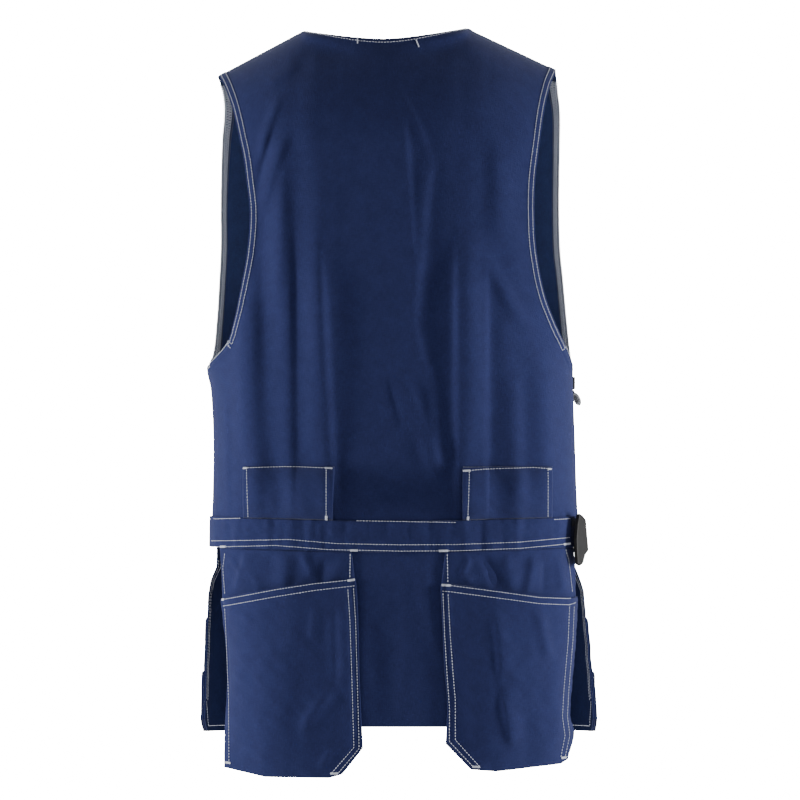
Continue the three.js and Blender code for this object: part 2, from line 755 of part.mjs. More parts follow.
// Waist buckle: a slotted plastic frame behind the right side, at the end of the back waistband. It and
// the strap are built on a frame of their own, with x out of the buckle's face and y along the strap.
function xAtDepth(y, face, full) {
  const share = (1 - (y / (section(bandAt, `${face}Depth`) * full)) ** sectionPower) ** (1 / sectionPower)
  return centreAt(bandAt) + halfAt(bandAt, face) * share
}
const bandX = xAtDepth(buckleReachBack, 'back', bodyDepthBack) + bandLift + canvas
const buckleTop = bandAt + buckleTall / 2 + buckleAboveMiddle
const waistFastening = new THREE.Group()
waistFastening.position.set(bandX + buckleStandOff, -buckleReachBack, 0)
waistFastening.rotation.z = -buckleTurn
vest.add(waistFastening)
waistFastening.updateMatrixWorld(true)

function roundedOutline(path, y0, z0, y1, z1, r) {
  path.moveTo(y0 + r, z0)
  path.lineTo(y1 - r, z0)
  path.absarc(y1 - r, z0 + r, r, -Math.PI / 2, 0, false)
  path.lineTo(y1, z1 - r)
  path.absarc(y1 - r, z1 - r, r, 0, Math.PI / 2, false)
  path.lineTo(y0 + r, z1)
  path.absarc(y0 + r, z1 - r, r, Math.PI / 2, Math.PI, false)
  path.lineTo(y0, z0 + r)
  path.absarc(y0 + r, z0 + r, r, Math.PI, 1.5 * Math.PI, false)
}

function buckleShape() {
  const shape = new THREE.Shape()
  const r = buckleCorner
  const low = -buckleTall
  const tabLow = low - buckleTabTall
  const tab0 = (buckleLong - buckleTabLong) / 2
  const tab1 = tab0 + buckleTabLong
  shape.moveTo(r, low)
  shape.lineTo(tab0, low)
  shape.lineTo(tab0, tabLow + r)
  shape.absarc(tab0 + r, tabLow + r, r, Math.PI, 1.5 * Math.PI, false)
  shape.lineTo(tab1 - r, tabLow)
  shape.absarc(tab1 - r, tabLow + r, r, 1.5 * Math.PI, 2 * Math.PI, false)
  shape.lineTo(tab1, low)
  shape.lineTo(buckleLong - r, low)
  shape.absarc(buckleLong - r, low + r, r, -Math.PI / 2, 0, false)
  shape.lineTo(buckleLong, -r)
  shape.absarc(buckleLong - r, -r, r, 0, Math.PI / 2, false)
  shape.lineTo(r, 0)
  shape.absarc(r, -r, r, Math.PI / 2, Math.PI, false)
  shape.lineTo(0, low + r)
  shape.absarc(r, low + r, r, Math.PI, 1.5 * Math.PI, false)
  const slotTop = -(buckleTall - buckleSlotTall) / 2
  for (const start of slotStarts) {
    const hole = new THREE.Path()
    roundedOutline(hole, start, slotTop - buckleSlotTall, start + buckleSlotWide, slotTop, 1)
    shape.holes.push(hole)
  }
  return shape
}

const middleBar = buckleLong - 2 * buckleBar - 2 * buckleSlotWide
const slotStarts = [buckleBar, buckleBar + buckleSlotWide + middleBar]
const buckleGeometry = new THREE.ExtrudeGeometry(buckleShape(), {
  depth: buckleThick,
  bevelEnabled: false,
  curveSegments: 3
})
// The outline's x and y become the frame's y and z, and its depth becomes x.
buckleGeometry.applyMatrix4(new THREE.Matrix4().set(
  0, 0, 1, 0,
  1, 0, 0, 0,
  0, 1, 0, buckleTop,
  0, 0, 0, 1
))
waistFastening.add(add('waist_buckle', buckleGeometry, blackPlastic))

// Webbing strap: from under the first bar over the middle bar, under the last one and on to the front
function strapShape() {
  const under = -barClearance - strapThick
  const over = buckleThick + barClearance
  const bend = 1
  const [first, second] = slotStarts
  // Past the buckle the strap leaves the back band's thickness behind and settles on the front panel.
  const onFront = [0.05, 0.25, 0.5, 0.75, 1].map((share) => {
    const y = share * strapEnd - seamGap
    const x = xAtDepth(y, 'front', bodyDepthFront) + (canvas + 2 * layerGap) * (2 - share)
    const { x: out, y: along } = waistFastening.worldToLocal(new THREE.Vector3(x, y, 0))
    return { x: out, y: along, slant: 0 }
  })
  const line = [
    { x: under, y: seamGap, slant: 0 },
    { x: under, y: first + bend, slant: -strapSlant },
    { x: over, y: first + buckleSlotWide - bend, slant: -strapSlant },
    { x: over, y: second + bend, slant: strapSlant },
    { x: under, y: second + buckleSlotWide - bend, slant: strapSlant },
    { x: under, y: buckleLong, slant: 0 },
    ...onFront
  ]
  const shape = new THREE.Shape()
  shape.setFromPoints([
    ...line.map(({ x, y }) => new THREE.Vector2(x, y)),
    ...line.reverse().map(({ x, y, slant }) => new THREE.Vector2(x + strapThick, y + slant))
  ])
  return shape
}
const strap = new THREE.ExtrudeGeometry(strapShape(), { depth: strapTall, bevelEnabled: false })
const strapMesh = add('waist_strap_right', strap, blackWebbing)
strapMesh.position.z = buckleTop - buckleTall / 2 - strapTall / 2
waistFastening.add(strapMesh)

// Side pocket zip on the right front: tape, slider and pull
const zipAngle = 1.39
const zipPoint = (share, z) => {
  const depth = section(z, 'frontDepth') * bodyDepthFront
  return frontPoint(xAtAngle(zipAngle - (share * sideZipAcross) / depth, z, 'front'), z)
}
add('side_zip_tape', wall({
  columns: steps(3),
  rows: steps(8),
  point: (u, v) => zipPoint(u - 0.5, -sideZipTopDrop - sideZipLong * (1 - v)),
  lift: () => canvas + layerGap,
  thick: tape
}), navyDark)

const sliderAt = zipPoint(0, -sliderTopDrop - sliderTall / 2)
const sliderTurn = Math.atan2(
  zipPoint(-0.5, sliderAt.z).x - zipPoint(0.5, sliderAt.z).x,
  zipPoint(0.5, sliderAt.z).y - zipPoint(-0.5, sliderAt.z).y
)
const sliderGroup = new THREE.Group()
sliderGroup.position.copy(sliderAt)
sliderGroup.rotation.z = sliderTurn
vest.add(sliderGroup)

function plate(outline, thick) {
  const geometry = new THREE.ExtrudeGeometry(outline, { depth: thick, bevelEnabled: false, curveSegments: 6 })
  geometry.applyMatrix4(new THREE.Matrix4().set(0, 0, 1, 0, 1, 0, 0, 0, 0, 1, 0, 0, 0, 0, 0, 1))
  return geometry
}
const sliderOutline = new THREE.Shape()
roundedOutline(sliderOutline, -sliderWide / 2, -sliderTall / 2, sliderWide / 2, sliderTall / 2, 2)
const slider = new THREE.Mesh(plate(sliderOutline, sliderThick), zipMetal)
slider.name = 'side_zip_slider'
slider.position.x = canvas + tape + 2 * layerGap + zipFacing
sliderGroup.add(slider)

// The pull hangs turned, so that its face looks back.
const pullOutline = new THREE.Shape()
const stemHalf = pullStemWide / 2
pullOutline.moveTo(-stemHalf, 0)
pullOutline.lineTo(-stemHalf, -pullStem)
const pullMiddle = -pullStem - pullTall / 2
pullOutline.absellipse(0, pullMiddle, pullWide / 2, pullTall / 2, 0.6 * Math.PI, 2.4 * Math.PI, false)
pullOutline.lineTo(stemHalf, -pullStem)
pullOutline.lineTo(stemHalf, 0)
const pull = new THREE.Mesh(new THREE.ExtrudeGeometry(pullOutline, {
  depth: pullThick,
  bevelEnabled: false,
  curveSegments: 12
}), blackPlastic)
pull.geometry.rotateX(Math.PI / 2)
pull.name = 'side_zip_pull'
const pullDrop = sliderTall / 2 + seamGap + stemHalf / 2
const sliderFace = new THREE.Vector3(slider.position.x + stemHalf, 0, -pullDrop)
pull.position.copy(sliderFace.applyEuler(sliderGroup.rotation).add(sliderGroup.position))
pull.position.y += pullThick / 2
pull.rotation.y = -pullTilt
vest.add(pull)

export default vest
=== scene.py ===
# %% [markdown]
# # Utility work vest
# The part is a sleeveless canvas work vest in its worn form, seen from behind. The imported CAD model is
# loaded first and stays as it is. Each cloth piece is then made again as a fine sheet over the same body
# surface, so that folds, hems and stitches have a real place, and each stands for its CAD node.

# %% Load the frame
import json
import math

import bmesh
import bpy
import numpy as np
from mathutils import Matrix, Vector
from mathutils.bvhtree import BVHTree
from mathutils.kdtree import KDTree

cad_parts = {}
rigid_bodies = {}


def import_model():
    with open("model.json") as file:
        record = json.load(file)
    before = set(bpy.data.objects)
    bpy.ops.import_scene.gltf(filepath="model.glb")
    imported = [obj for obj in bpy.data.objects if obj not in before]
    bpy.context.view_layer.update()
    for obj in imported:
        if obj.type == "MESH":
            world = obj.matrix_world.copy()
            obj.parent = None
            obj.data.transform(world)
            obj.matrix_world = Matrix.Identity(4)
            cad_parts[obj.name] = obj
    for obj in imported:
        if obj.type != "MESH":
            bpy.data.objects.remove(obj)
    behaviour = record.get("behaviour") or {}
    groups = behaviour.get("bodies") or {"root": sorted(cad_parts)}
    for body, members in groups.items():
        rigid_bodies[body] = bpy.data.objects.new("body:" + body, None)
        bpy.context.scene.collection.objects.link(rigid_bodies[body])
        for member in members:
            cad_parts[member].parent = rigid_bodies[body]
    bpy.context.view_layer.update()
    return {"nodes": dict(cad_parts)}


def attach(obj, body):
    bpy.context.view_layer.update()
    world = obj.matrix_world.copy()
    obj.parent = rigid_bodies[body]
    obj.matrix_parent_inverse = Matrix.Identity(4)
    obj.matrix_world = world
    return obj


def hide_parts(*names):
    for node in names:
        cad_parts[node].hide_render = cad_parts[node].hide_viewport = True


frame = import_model()
print("CAD nodes:", len(frame["nodes"]))

# %% [markdown]
# ## Sizes
# Lengths are millimetres, as a garment pattern gives them, and turn to metres only when a mesh is made.
# The body sizes repeat those of the CAD source, because the cloth follows the same surface.

# %% Sizes of the body
MM = 0.001
body_drop, body_half_width = 615, 216
body_depth_back, body_depth_front = 125, 130
section_power = 2.5
neck_half_width, neck_dip, neck_depth, neck_tilt, neck_front_drop = 98, 12, 62, 1.7, 235
shoulder_tip_left, shoulder_tip_right = 199.4, 201.8
shoulder_fall_left, shoulder_fall_right = 54, 49
shoulder_roll, chest_drop = 125, 130
slow_turn_drop, slow_turn_tall = 345, 145
tail_drop, tail_angle = 821, 0.92
SIDES = {"left": -1, "right": 1}
print(f"body: {2 * body_half_width} mm wide, {body_depth_back + body_depth_front} mm deep")

# %% Sizes of the cloth pieces
canvas, tape, layer_gap, facing_gap, seam_gap, under_band_gap = 1.6, 1.2, 0.5, 0.8, 0.4, 0.9
band_top_drop, band_tall, band_sag = 574, 36, 5
tunnel_wide, tunnel_top_drop, tunnel_stand, tunnel_ease = 104, 515, 17, 0.3
tunnel_at = {"left": -0.523, "right": 0.662}
back_pouch_bulge, holster_bulge, tool_pouch_bulge = 12, 15, 11
holster_drop, holster_corner_drop = 830, 16
holster_pouch_tall, tool_pouch_tall, holster_mouth_rise = 133, 67, 16
holster_shoulder_drop, holster_shoulder_tall = 665, 30
holster_flare = {"left": 8, "right": 20}
holster_outer, holster_inner, holster_shoulder = 1.5, 0.55, 0.2
front_zip_wide, front_zip_thick = 12, 2.2
hanger_left, hanger_right, hanger_tape_tall, hanger_droop, hanger_stand = -32, 38, 8, 12, 5
side_zip_drop, side_zip_long, side_zip_across, side_zip_angle = 400, 150, 14, 1.39
print(f"canvas {canvas} mm thick, tape {tape} mm")


# %% Sections and armholes
def table(names, rows):
    """A short table: one array for each named column."""
    return dict(zip(names.split(), np.array(rows, float).T))


# drop is a share of body_drop, the half-widths and the centre of body_half_width, and the depths of
# the body depths.
sections = table("drop back front centre back_depth front_depth", [
    (-0.02, 1.09, 0.985, 0.0, 0.83, 0.71), (0.1, 1.075, 0.965, 0.005, 0.9, 0.77),
    (0.21, 1.03, 0.95, 0.023, 0.96, 0.86), (0.34, 1.0, 0.942, 0.03, 1.0, 0.94),
    (0.47, 1.0, 0.955, 0.035, 1.008, 1.0), (0.57, 1.0, 0.978, 0.037, 0.992, 1.015),
    (0.647, 0.997, 0.997, 0.026, 0.968, 1.008), (0.69, 0.986, 0.986, 0.038, 0.952, 1.0),
    (0.787, 0.984, 0.984, 0.05, 0.928, 0.985), (0.885, 0.99, 0.99, 0.053, 0.93, 0.977),
    (0.975, 1.0, 1.0, 0.055, 0.952, 0.985), (1.17, 1.005, 1.005, 0.055, 0.992, 1.0),
    (1.45, 1.005, 1.005, 0.055, 1.008, 1.0)])
back_armhole = table("drop left right", [
    (0.083, -0.918, 0.931), (0.115, -0.875, 0.896), (0.166, -0.821, 0.861), (0.236, -0.771, 0.831),
    (0.288, -0.75, 0.814), (0.35, -0.732, 0.809), (0.423, -0.745, 0.82), (0.504, -0.784, 0.863),
    (0.561, -0.817, 0.921), (0.605, -0.86, 0.977), (0.647, -0.971, 1.023)])
front_armhole = table("drop left right", [
    (0.083, -0.923, 0.934), (0.117, -0.891, 0.944), (0.154, -0.878, 0.954), (0.211, -0.889, 0.954),
    (0.325, -0.896, 0.95), (0.415, -0.896, 0.955), (0.48, -0.904, 0.972), (0.561, -0.919, 0.993),
    (0.624, -0.94, 1.011), (0.647, -0.971, 1.023)])
folds = table("top bottom at drift wide high", [
    (0.2, 0.82, -0.555, -0.01, 0.062, 0.03), (0.18, 0.82, -0.365, 0.0, 0.085, 0.04),
    (0.5, 0.82, -0.785, 0.0, 0.055, 0.03), (0.38, 0.82, 0.47, 0.015, 0.07, 0.032),
    (0.18, 0.82, 0.23, 0.0, 0.11, -0.024), (0.22, 0.8, -0.665, 0.0, 0.05, -0.018)])
print("sections of the body:", len(sections["drop"]), "long folds:", len(folds["at"]))

# %% Outlines of the back pockets
# drop is a share of tail_drop here, and at of body_half_width.
back_pockets = {
    "left": {
        "outer": table("drop at", [(0.745, -0.89), (0.8, -0.88), (0.83, -0.873), (0.888, -0.847),
                                   (0.942, -0.842), (1.0, -0.855), (1.058, -0.858)]),
        "inner": table("drop at", [(0.745, -0.18), (0.793, -0.156), (0.846, -0.144), (0.93, -0.137),
                                   (1.029, -0.118), (1.072, -0.11)]),
        "mouth": table("at drop", [(-0.9, 0.819), (-0.595, 0.803), (-0.382, 0.795), (-0.15, 0.788)]),
        "bottom": table("at drop", [(-0.88, 1.058), (-0.64, 1.072), (-0.3, 1.073), (-0.232, 1.068),
                                    (-0.115, 1.029)])},
    "right": {
        "outer": table("drop at", [(0.745, 1.02), (0.8, 1.028), (0.846, 1.028), (0.898, 1.015),
                                   (0.942, 1.0), (0.983, 0.99), (1.012, 1.012), (1.047, 0.978)]),
        "inner": table("drop at", [(0.745, 0.327), (0.793, 0.303), (0.846, 0.312), (0.91, 0.32),
                                   (0.961, 0.338), (1.023, 0.328)]),
        "mouth": table("at drop", [(0.3, 0.796), (0.36, 0.796), (0.644, 0.807), (0.841, 0.814),
                                   (1.0, 0.816), (1.05, 0.812)]),
        "bottom": table("at drop", [(0.325, 1.023), (0.463, 1.061), (0.6, 1.064), (0.94, 1.054),
                                    (0.995, 1.045)])}}
print("outlined pockets:", ", ".join(back_pockets))

# %% [markdown]
# ## Places read off the photograph
# A pixel of the 800 by 800 photograph is 1.18 mm, and pixel (385, 30) is the origin, midway between the
# two shoulder points beside the neck. Seams and creases are listed in pixels and laid on the cloth.

# %% Pixels to millimetres
pixel_mm, picture_px = 1.18, 800
origin_px, origin_py = 385, 30
print(f"the photograph shows {picture_px * pixel_mm:.0f} mm across")


def from_photo(points):
    """Pixels of the photograph as x and z in millimetres."""
    points = np.asarray(points, float)
    return np.stack([(points[..., 0] - origin_px) * pixel_mm, (origin_py - points[..., 1]) * pixel_mm], -1)


# %% [markdown]
# ## The body surface
# A worn vest is close to an upright tube. Each height has a centre, a half-width and a depth to the back
# and to the front, read along smooth curves through a few rows. The sections are squarish ellipses.

# %% Helpers that read the tables
neck_curve = 1.6


def mix(a, b, share):
    return a + (b - a) * share


def smooth(share):
    share = np.clip(share, 0, 1)
    return share * share * (3 - 2 * share)


def read(rows, axis, name, at):
    """A column of a table at a place on its axis, along a smooth curve through the rows."""
    places, values = rows[axis], rows[name]
    last = len(places) - 1
    before, after = np.maximum(np.arange(last + 1) - 1, 0), np.minimum(np.arange(last + 1) + 1, last)
    slopes = (values[after] - values[before]) / (places[after] - places[before])
    at = np.clip(at, places[0], places[-1])
    i = np.clip(np.searchsorted(places, at) - 1, 0, last - 1)
    span = places[i + 1] - places[i]
    t = (at - places[i]) / span
    return ((2 * t**3 - 3 * t**2 + 1) * values[i] + (t**3 - 2 * t**2 + t) * slopes[i] * span
            + (3 * t**2 - 2 * t**3) * values[i + 1] + (t**3 - t**2) * slopes[i + 1] * span)


def section(z, name):
    return read(sections, "drop", name, -z / body_drop)


def centre_at(z):
    return section(z, "centre") * body_half_width


def half_at(z, face):
    return section(z, face) * body_half_width


def neck_edge(x):
    share = np.clip(x / neck_half_width, -1, 1)
    return -neck_dip * (1 - np.abs(share) ** neck_curve) + neck_tilt * share


def shoulder_line(x):
    tip = np.where(x < 0, shoulder_tip_left, shoulder_tip_right)
    fall = np.where(x < 0, shoulder_fall_left, shoulder_fall_right)
    start = np.where(x < 0, -neck_tilt, neck_tilt)
    return start - fall * (np.abs(x) - neck_half_width) / (tip - neck_half_width)


def top_edge(x):
    return np.where(np.abs(x) < neck_half_width, neck_edge(x), shoulder_line(x))


def roundness(x, z, face):
    share = np.clip((x - centre_at(z)) / half_at(z, face), -1, 1)
    return (1 - np.abs(share) ** section_power) ** (1 / section_power)


def x_at_angle(angle, z, face):
    return centre_at(z) + half_at(z, face) * np.sin(angle)


def angle_at(x, z, face):
    return np.arcsin(np.clip((x - centre_at(z)) / half_at(z, face), -1, 1))


# %% [markdown]
# ## Folds and creases
# Light canvas hangs in long soft folds from the shoulder blades and is drawn into short creases at the
# armholes. A fold is a ridge along a line, with its own width on either side, so that one flank can be
# gentle and the other sharp. Cloth simulation would give folds of its own, and not those of this vest.

# %% Ridges along lines
# fold_fade shapes how a fold rises and falls along its length, and crease_end is the share of its length
# over which a crease does.
fold_fade, crease_end = 0.6, 0.3
ripple_spread = (0.7, 1.8)


def fold_relief(x, z):
    """The height of the long folds, which run down the back with a little drift."""
    total = 0
    for top, bottom, at, drift, wide, high in zip(*folds.values()):
        along = np.clip((-z / body_drop - top) / (bottom - top), 0, 1)
        fade = np.sin(np.pi * along).clip(0) ** fold_fade
        total = total + high * body_depth_back * fade * np.exp(
            -(((x / body_half_width - at - drift * along) / wide) ** 2))
    return total


CREASE = "x0 y0 x1 y1 bend left right high"


def crease_relief(x, z, creases):
    """The height of the creases at each point. Ends in pixels, bend, widths and height in millimetres."""
    total = np.zeros(np.broadcast(x, z).shape)
    for x0, y0, x1, y1, bend, left, right, high in zip(*creases.values()):
        start, end = from_photo([(x0, y0), (x1, y1)])
        run = end - start
        long = np.hypot(*run)
        t = ((x - start[0]) * run[0] + (z - start[1]) * run[1]) / long**2
        side = ((x - start[0]) * -run[1] + (z - start[1]) * run[0]) / long
        side = side - bend * 4 * t * (1 - t)
        wide = np.where(side < 0, left, right)
        ends = smooth(t / crease_end) * smooth((1 - t) / crease_end)
        total += high * np.exp(-((side / wide) ** 2)) * ends
    return total


def ripple(x, z, seed, size, high, waves=14):
    """A shallow, irregular unevenness with features about as large as size."""
    random = np.random.default_rng(seed)
    total = 0
    for _ in range(waves):
        turn, phase = random.uniform(0, 2 * np.pi, 2)
        pace = 2 * np.pi / (size * random.uniform(*ripple_spread))
        total = total + np.sin((x * np.cos(turn) + z * np.sin(turn)) * pace + phase)
    return total * high / math.sqrt(waves)


def worn(rows, seed, size, high, stretch=1.0):
    """A relief for a piece: its creases, and a ripple drawn out along the height by 1 / stretch."""
    def relief(points):
        x, z = points[..., 0], points[..., 2]
        total = ripple(x, z * stretch, seed, size, high)
        return total if rows is None else crease_relief(x, z, rows) + total
    return relief


# %% Creases of the back
# Each crease runs down, so left and right are as seen from behind: a wide left flank catches the light
# of the left softbox, and a narrow right one ends it sharply.
back_creases = table(CREASE, [
    (289, 190, 292, 545, 0, 11, 5, 2.2),
    (316, 215, 334, 545, 0, 22, 6, 4.4),
    (251, 245, 254, 560, 0, 22, 17, 6.4),
    (226, 372, 229, 545, 0, 5, 4, 1.2),
    (283, 92, 259, 168, -3, 6, 5, 1.9),
    (292, 128, 262, 222, -5, 9, 6, 2.2),
    (277, 124, 258, 196, -3, 4, 4, -1.2),
    (280, 150, 276, 320, 3, 16, 9, 1.8),
    (398, 86, 412, 292, 3, 28, 5, 1.8),
    (392, 80, 432, 168, 4, 9, 4, 1.0),
    (431, 150, 420, 252, -3, 14, 7, 2.2),
    (420, 228, 411, 336, 0, 13, 9, 2.8),
    (411, 312, 434, 392, -4, 12, 7, 2.4),
    (433, 362, 436, 478, 0, 10, 6, 1.7),
    (385, 366, 404, 440, -2, 6, 5, -1.3),
    (396, 366, 440, 492, 5, 11, 7, 2.3),
    (459, 200, 461, 548, 0, 7, 21, 4.4),
    (489, 240, 488, 548, 0, 3, 13, -2.2),
    (482, 250, 532, 336, -3, 9, 9, 2.2),
    (497, 128, 500, 262, 0, 12, 18, 2.0),
    (513, 350, 517, 548, 0, 12, 9, 2.6),
    (544, 330, 547, 552, 0, 20, 16, 5.6),
    (302, 60, 262, 88, 3, 9, 6, 1.4),
])
print("creases of the back:", len(back_creases["high"]))

# %% The cloth's place on the body
# At the top the cloth rolls forward over the shoulders and up to the neck edge, which stands on its own
# arc. The top edge is blurred below it, so that its corners don't run down the back as ridges. Folds
# and creases die out towards the side seams, where front and back meet.
top_blur, top_blur_drop = (-48, -32, -16, 0, 16, 32, 48), 50
neck_round, neck_round_more, neck_round_share = 0.5, 1.1, 0.2
roll_power, roll_power_more = 0.5, 0.4
crease_from, fold_from, crease_gain = 0.45, 0.12, 1.25
wear_of_back = {"seed": 3, "size": 26, "high": 0.2}
wear_stretch = 0.35


def back_point(x, z):
    """The back's surface: how far back it stands at a place across and a height."""
    full = section(z, "back_depth") * body_depth_back * roundness(x, z, "back")
    neck_share = np.clip(np.abs(x) / neck_half_width, 0, 1)
    soft_top = np.mean([top_edge(x + step) for step in top_blur], axis=0)
    drop = top_edge(x) - z
    drop = drop + (soft_top - top_edge(x)) * smooth(drop / top_blur_drop)
    under = np.clip(drop / shoulder_roll, 0, 1)
    arc_power = neck_round + neck_round_more * smooth(under / neck_round_share)
    edge_depth = neck_depth * (1 - neck_share**2) ** arc_power
    ease = (1 - (1 - under) ** 2) ** (roll_power + roll_power_more * (1 - neck_share**2) ** 2)
    flat = smooth(roundness(x, z, "back") / crease_from) * ease
    creased = (crease_gain * crease_relief(x, z, back_creases)
               + ripple(x, z * wear_stretch, **wear_of_back))
    relief = fold_relief(x, z) * ease * smooth(roundness(x, z, "back") / fold_from) + creased * flat
    return np.stack([x, -mix(edge_depth, full, ease) - relief, z], -1)


def front_point(x, z):
    """The front's surface, plain but for the roll over the shoulders."""
    full = section(z, "front_depth") * body_depth_front * roundness(x, z, "front")
    under = np.clip((shoulder_line(x) - z) / shoulder_roll, 0, 1)
    return np.stack([x, full * np.sqrt(1 - (1 - under) ** 2), z], -1)


# %% [markdown]
# ## The camera
# A garment on a white ground is taken from far off with a long lens, so that its edges stay upright. The
# lens is worked out from the distance and from the width that the photograph shows. An orthographic
# camera would give nearly the same picture, without the slight narrowing of what lies further off.

# %% Camera
camera_away, plane_y, sensor_mm = 16.0, -0.06, 36
camera_data = bpy.data.cameras.new("camera")
camera = bpy.data.objects.new("camera", camera_data)
bpy.context.scene.collection.objects.link(camera)
middle = from_photo((picture_px / 2, picture_px / 2)) * MM
camera.location = (middle[0], plane_y - camera_away, middle[1])
camera.rotation_euler = (math.radians(90), 0, 0)
camera_data.sensor_width = sensor_mm
camera_data.lens = camera_data.sensor_width * camera_away / (picture_px * pixel_mm * MM)
camera_data.clip_end = 60
bpy.context.scene.camera = camera
print(f"lens: {camera_data.lens:.0f} mm")

# %% [markdown]
# ## Finishes
# The vest is cotton canvas dyed in the piece, sewn with spun polyester thread, with webbing at the waist
# and a moulded buckle. Cloth is matt: nearly all its light is diffuse, and the short fibres on it catch a
# little more at grazing angles, which the sheen gives. A picture of the weave could be laid on it, but
# two crossed noises on the flat cut piece follow the folds and need no picture.

# %% Helpers for materials
def linear(text):
    """An sRGB hex colour as linear light."""
    parts = [int(text[i:i + 2], 16) / 255 for i in (1, 3, 5)]
    return tuple(c / 12.92 if c <= 0.04045 else ((c + 0.055) / 1.055) ** 2.4 for c in parts) + (1.0,)


def add(tree, kind, inputs=None, **settings):
    """Adds a node with its settings, and sets or links its inputs."""
    made = tree.nodes.new(kind)
    for name, value in settings.items():
        setattr(made, name, value)
    for name, value in (inputs or {}).items():
        if isinstance(value, bpy.types.NodeSocket):
            tree.links.new(value, made.inputs[name])
        else:
            made.inputs[name].default_value = value
    return made


def new_material(name):
    """A material with an empty tree but for its shader, and that shader."""
    material = bpy.data.materials.new(name)
    material.use_nodes = True
    tree = material.node_tree
    tree.nodes.clear()
    shader = add(tree, "ShaderNodeBsdfPrincipled")
    add(tree, "ShaderNodeOutputMaterial", {"Surface": shader.outputs[0]})
    return material, tree, shader


# %% Canvas and webbing
# A real thread of this canvas is about 0.5 mm wide, too fine for the picture, so it is drawn as 1.1 mm,
# with thick places about 6 mm long. Dye takes unevenly in clouds of about 17 mm.
threads_a_metre, slubs_a_metre, clouds_a_metre = 900, 160, 60.0
weave_deep = 0.0004


def canvas_finish(name, dark, light, sheen=0.2, gloss=0.25):
    """Piece-dyed cotton canvas: matt, with a fine uneven weave and a faint bloom at grazing angles."""
    material, tree, shader = new_material(name)
    weave = add(tree, "ShaderNodeUVMap", uv_map="weave").outputs[0]
    fine_across, fine_along = (threads_a_metre, slubs_a_metre, 1), (slubs_a_metre, threads_a_metre, 1)
    grain_1 = add(tree, "ShaderNodeMapping", {"Vector": weave, "Scale": fine_across}).outputs[0]
    grain_2 = add(tree, "ShaderNodeMapping", {"Vector": weave, "Scale": fine_along}).outputs[0]
    warp = add(tree, "ShaderNodeTexNoise", {"Vector": grain_1, "Scale": 1.0, "Detail": 2.0})
    weft = add(tree, "ShaderNodeTexNoise", {"Vector": grain_2, "Scale": 1.0, "Detail": 2.0})
    both = add(tree, "ShaderNodeMath", {0: warp.outputs[0], 1: weft.outputs[0]}, operation="ADD")
    cloud = add(tree, "ShaderNodeTexNoise", {"Vector": weave, "Scale": clouds_a_metre, "Detail": 6.0})
    tone = add(tree, "ShaderNodeMath", {0: both.outputs[0], 1: cloud.outputs[0]}, operation="ADD")
    spread = add(tree, "ShaderNodeMapRange", {"Value": tone.outputs[0], "From Min": 1.0, "From Max": 2.0})
    colour = add(tree, "ShaderNodeMix", {"Factor": spread.outputs[0]}, data_type="RGBA")
    colour.inputs[6].default_value, colour.inputs[7].default_value = linear(dark), linear(light)
    tree.links.new(colour.outputs[2], shader.inputs["Base Color"])
    bump = add(tree, "ShaderNodeBump",
               {"Height": both.outputs[0], "Distance": weave_deep, "Strength": 0.6})
    tree.links.new(bump.outputs[0], shader.inputs["Normal"])
    shader.inputs["Roughness"].default_value = 0.9
    shader.inputs["Specular IOR Level"].default_value = gloss
    shader.inputs["Sheen Weight"].default_value = sheen
    shader.inputs["Sheen Roughness"].default_value = 0.45
    shader.inputs["Sheen Tint"].default_value = linear("#c4c8d4")
    return material


# The outer face is brushed by use, so it looks soft and a little pale where it turns away.
navy_canvas = canvas_finish("navy_canvas_woven", "#1c2350", "#252e60")
# A darker, flatter copy of the same canvas with no sheen, for the inner faces and the whole fronts: painted
# shade, standing in for the shade they lie in.
navy_inside_painted_shade = canvas_finish("navy_canvas_inside_painted_shade", "#131c3c", "#1b264c", sheen=0.0, gloss=0.15)
# The holster backings hang in the shade of their pouches and look almost black on the inside.
navy_shaded = canvas_finish("navy_canvas_in_the_shade", "#0a102a", "#0f1736", sheen=0.0, gloss=0.06)
# Webbing and tape are woven tighter and dyed darker, so they stand out as near-black navy.
navy_tape = canvas_finish("navy_webbing", "#12182e", "#1b233f")
print("cloth finishes:", len(bpy.data.materials))


# %% Thread finishes
def thread_finish(name, colour):
    """Spun polyester sewing thread: pale, slightly glossy, with the twist of its plies."""
    material, tree, shader = new_material(name)
    place = add(tree, "ShaderNodeTexCoord").outputs["Object"]
    fleck = add(tree, "ShaderNodeTexNoise", {"Vector": place, "Scale": 900.0})
    bump = add(tree, "ShaderNodeBump", {"Height": fleck.outputs[0], "Distance": 0.0001, "Strength": 0.4})
    tree.links.new(bump.outputs[0], shader.inputs["Normal"])
    shader.inputs["Base Color"].default_value = linear(colour)
    shader.inputs["Roughness"].default_value = 0.55
    return material


# White thread for every visible seam: it reads as a crisp dashed line on the navy.
white_thread = thread_finish("white_sewing_thread", "#e4e8f6")
# Textured overlock thread is greyer, because its loose filaments shade each other.
grey_thread = thread_finish("grey_overlock_thread", "#b4b9c8")
print("thread finishes: white and grey")


# %% Plastic, metal and rubber
def plain_finish(name, colour, roughness, metallic=0.0):
    """A moulded or metal finish, with a fine grain from the mould."""
    material, tree, shader = new_material(name)
    place = add(tree, "ShaderNodeTexCoord").outputs["Object"]
    grain = add(tree, "ShaderNodeTexNoise", {"Vector": place, "Scale": 2200.0})
    bump = add(tree, "ShaderNodeBump", {"Height": grain.outputs[0], "Distance": 0.00006, "Strength": 0.5})
    tree.links.new(bump.outputs[0], shader.inputs["Normal"])
    shader.inputs["Base Color"].default_value = linear(colour)
    shader.inputs["Roughness"].default_value = roughness
    shader.inputs["Metallic"].default_value = metallic
    return material


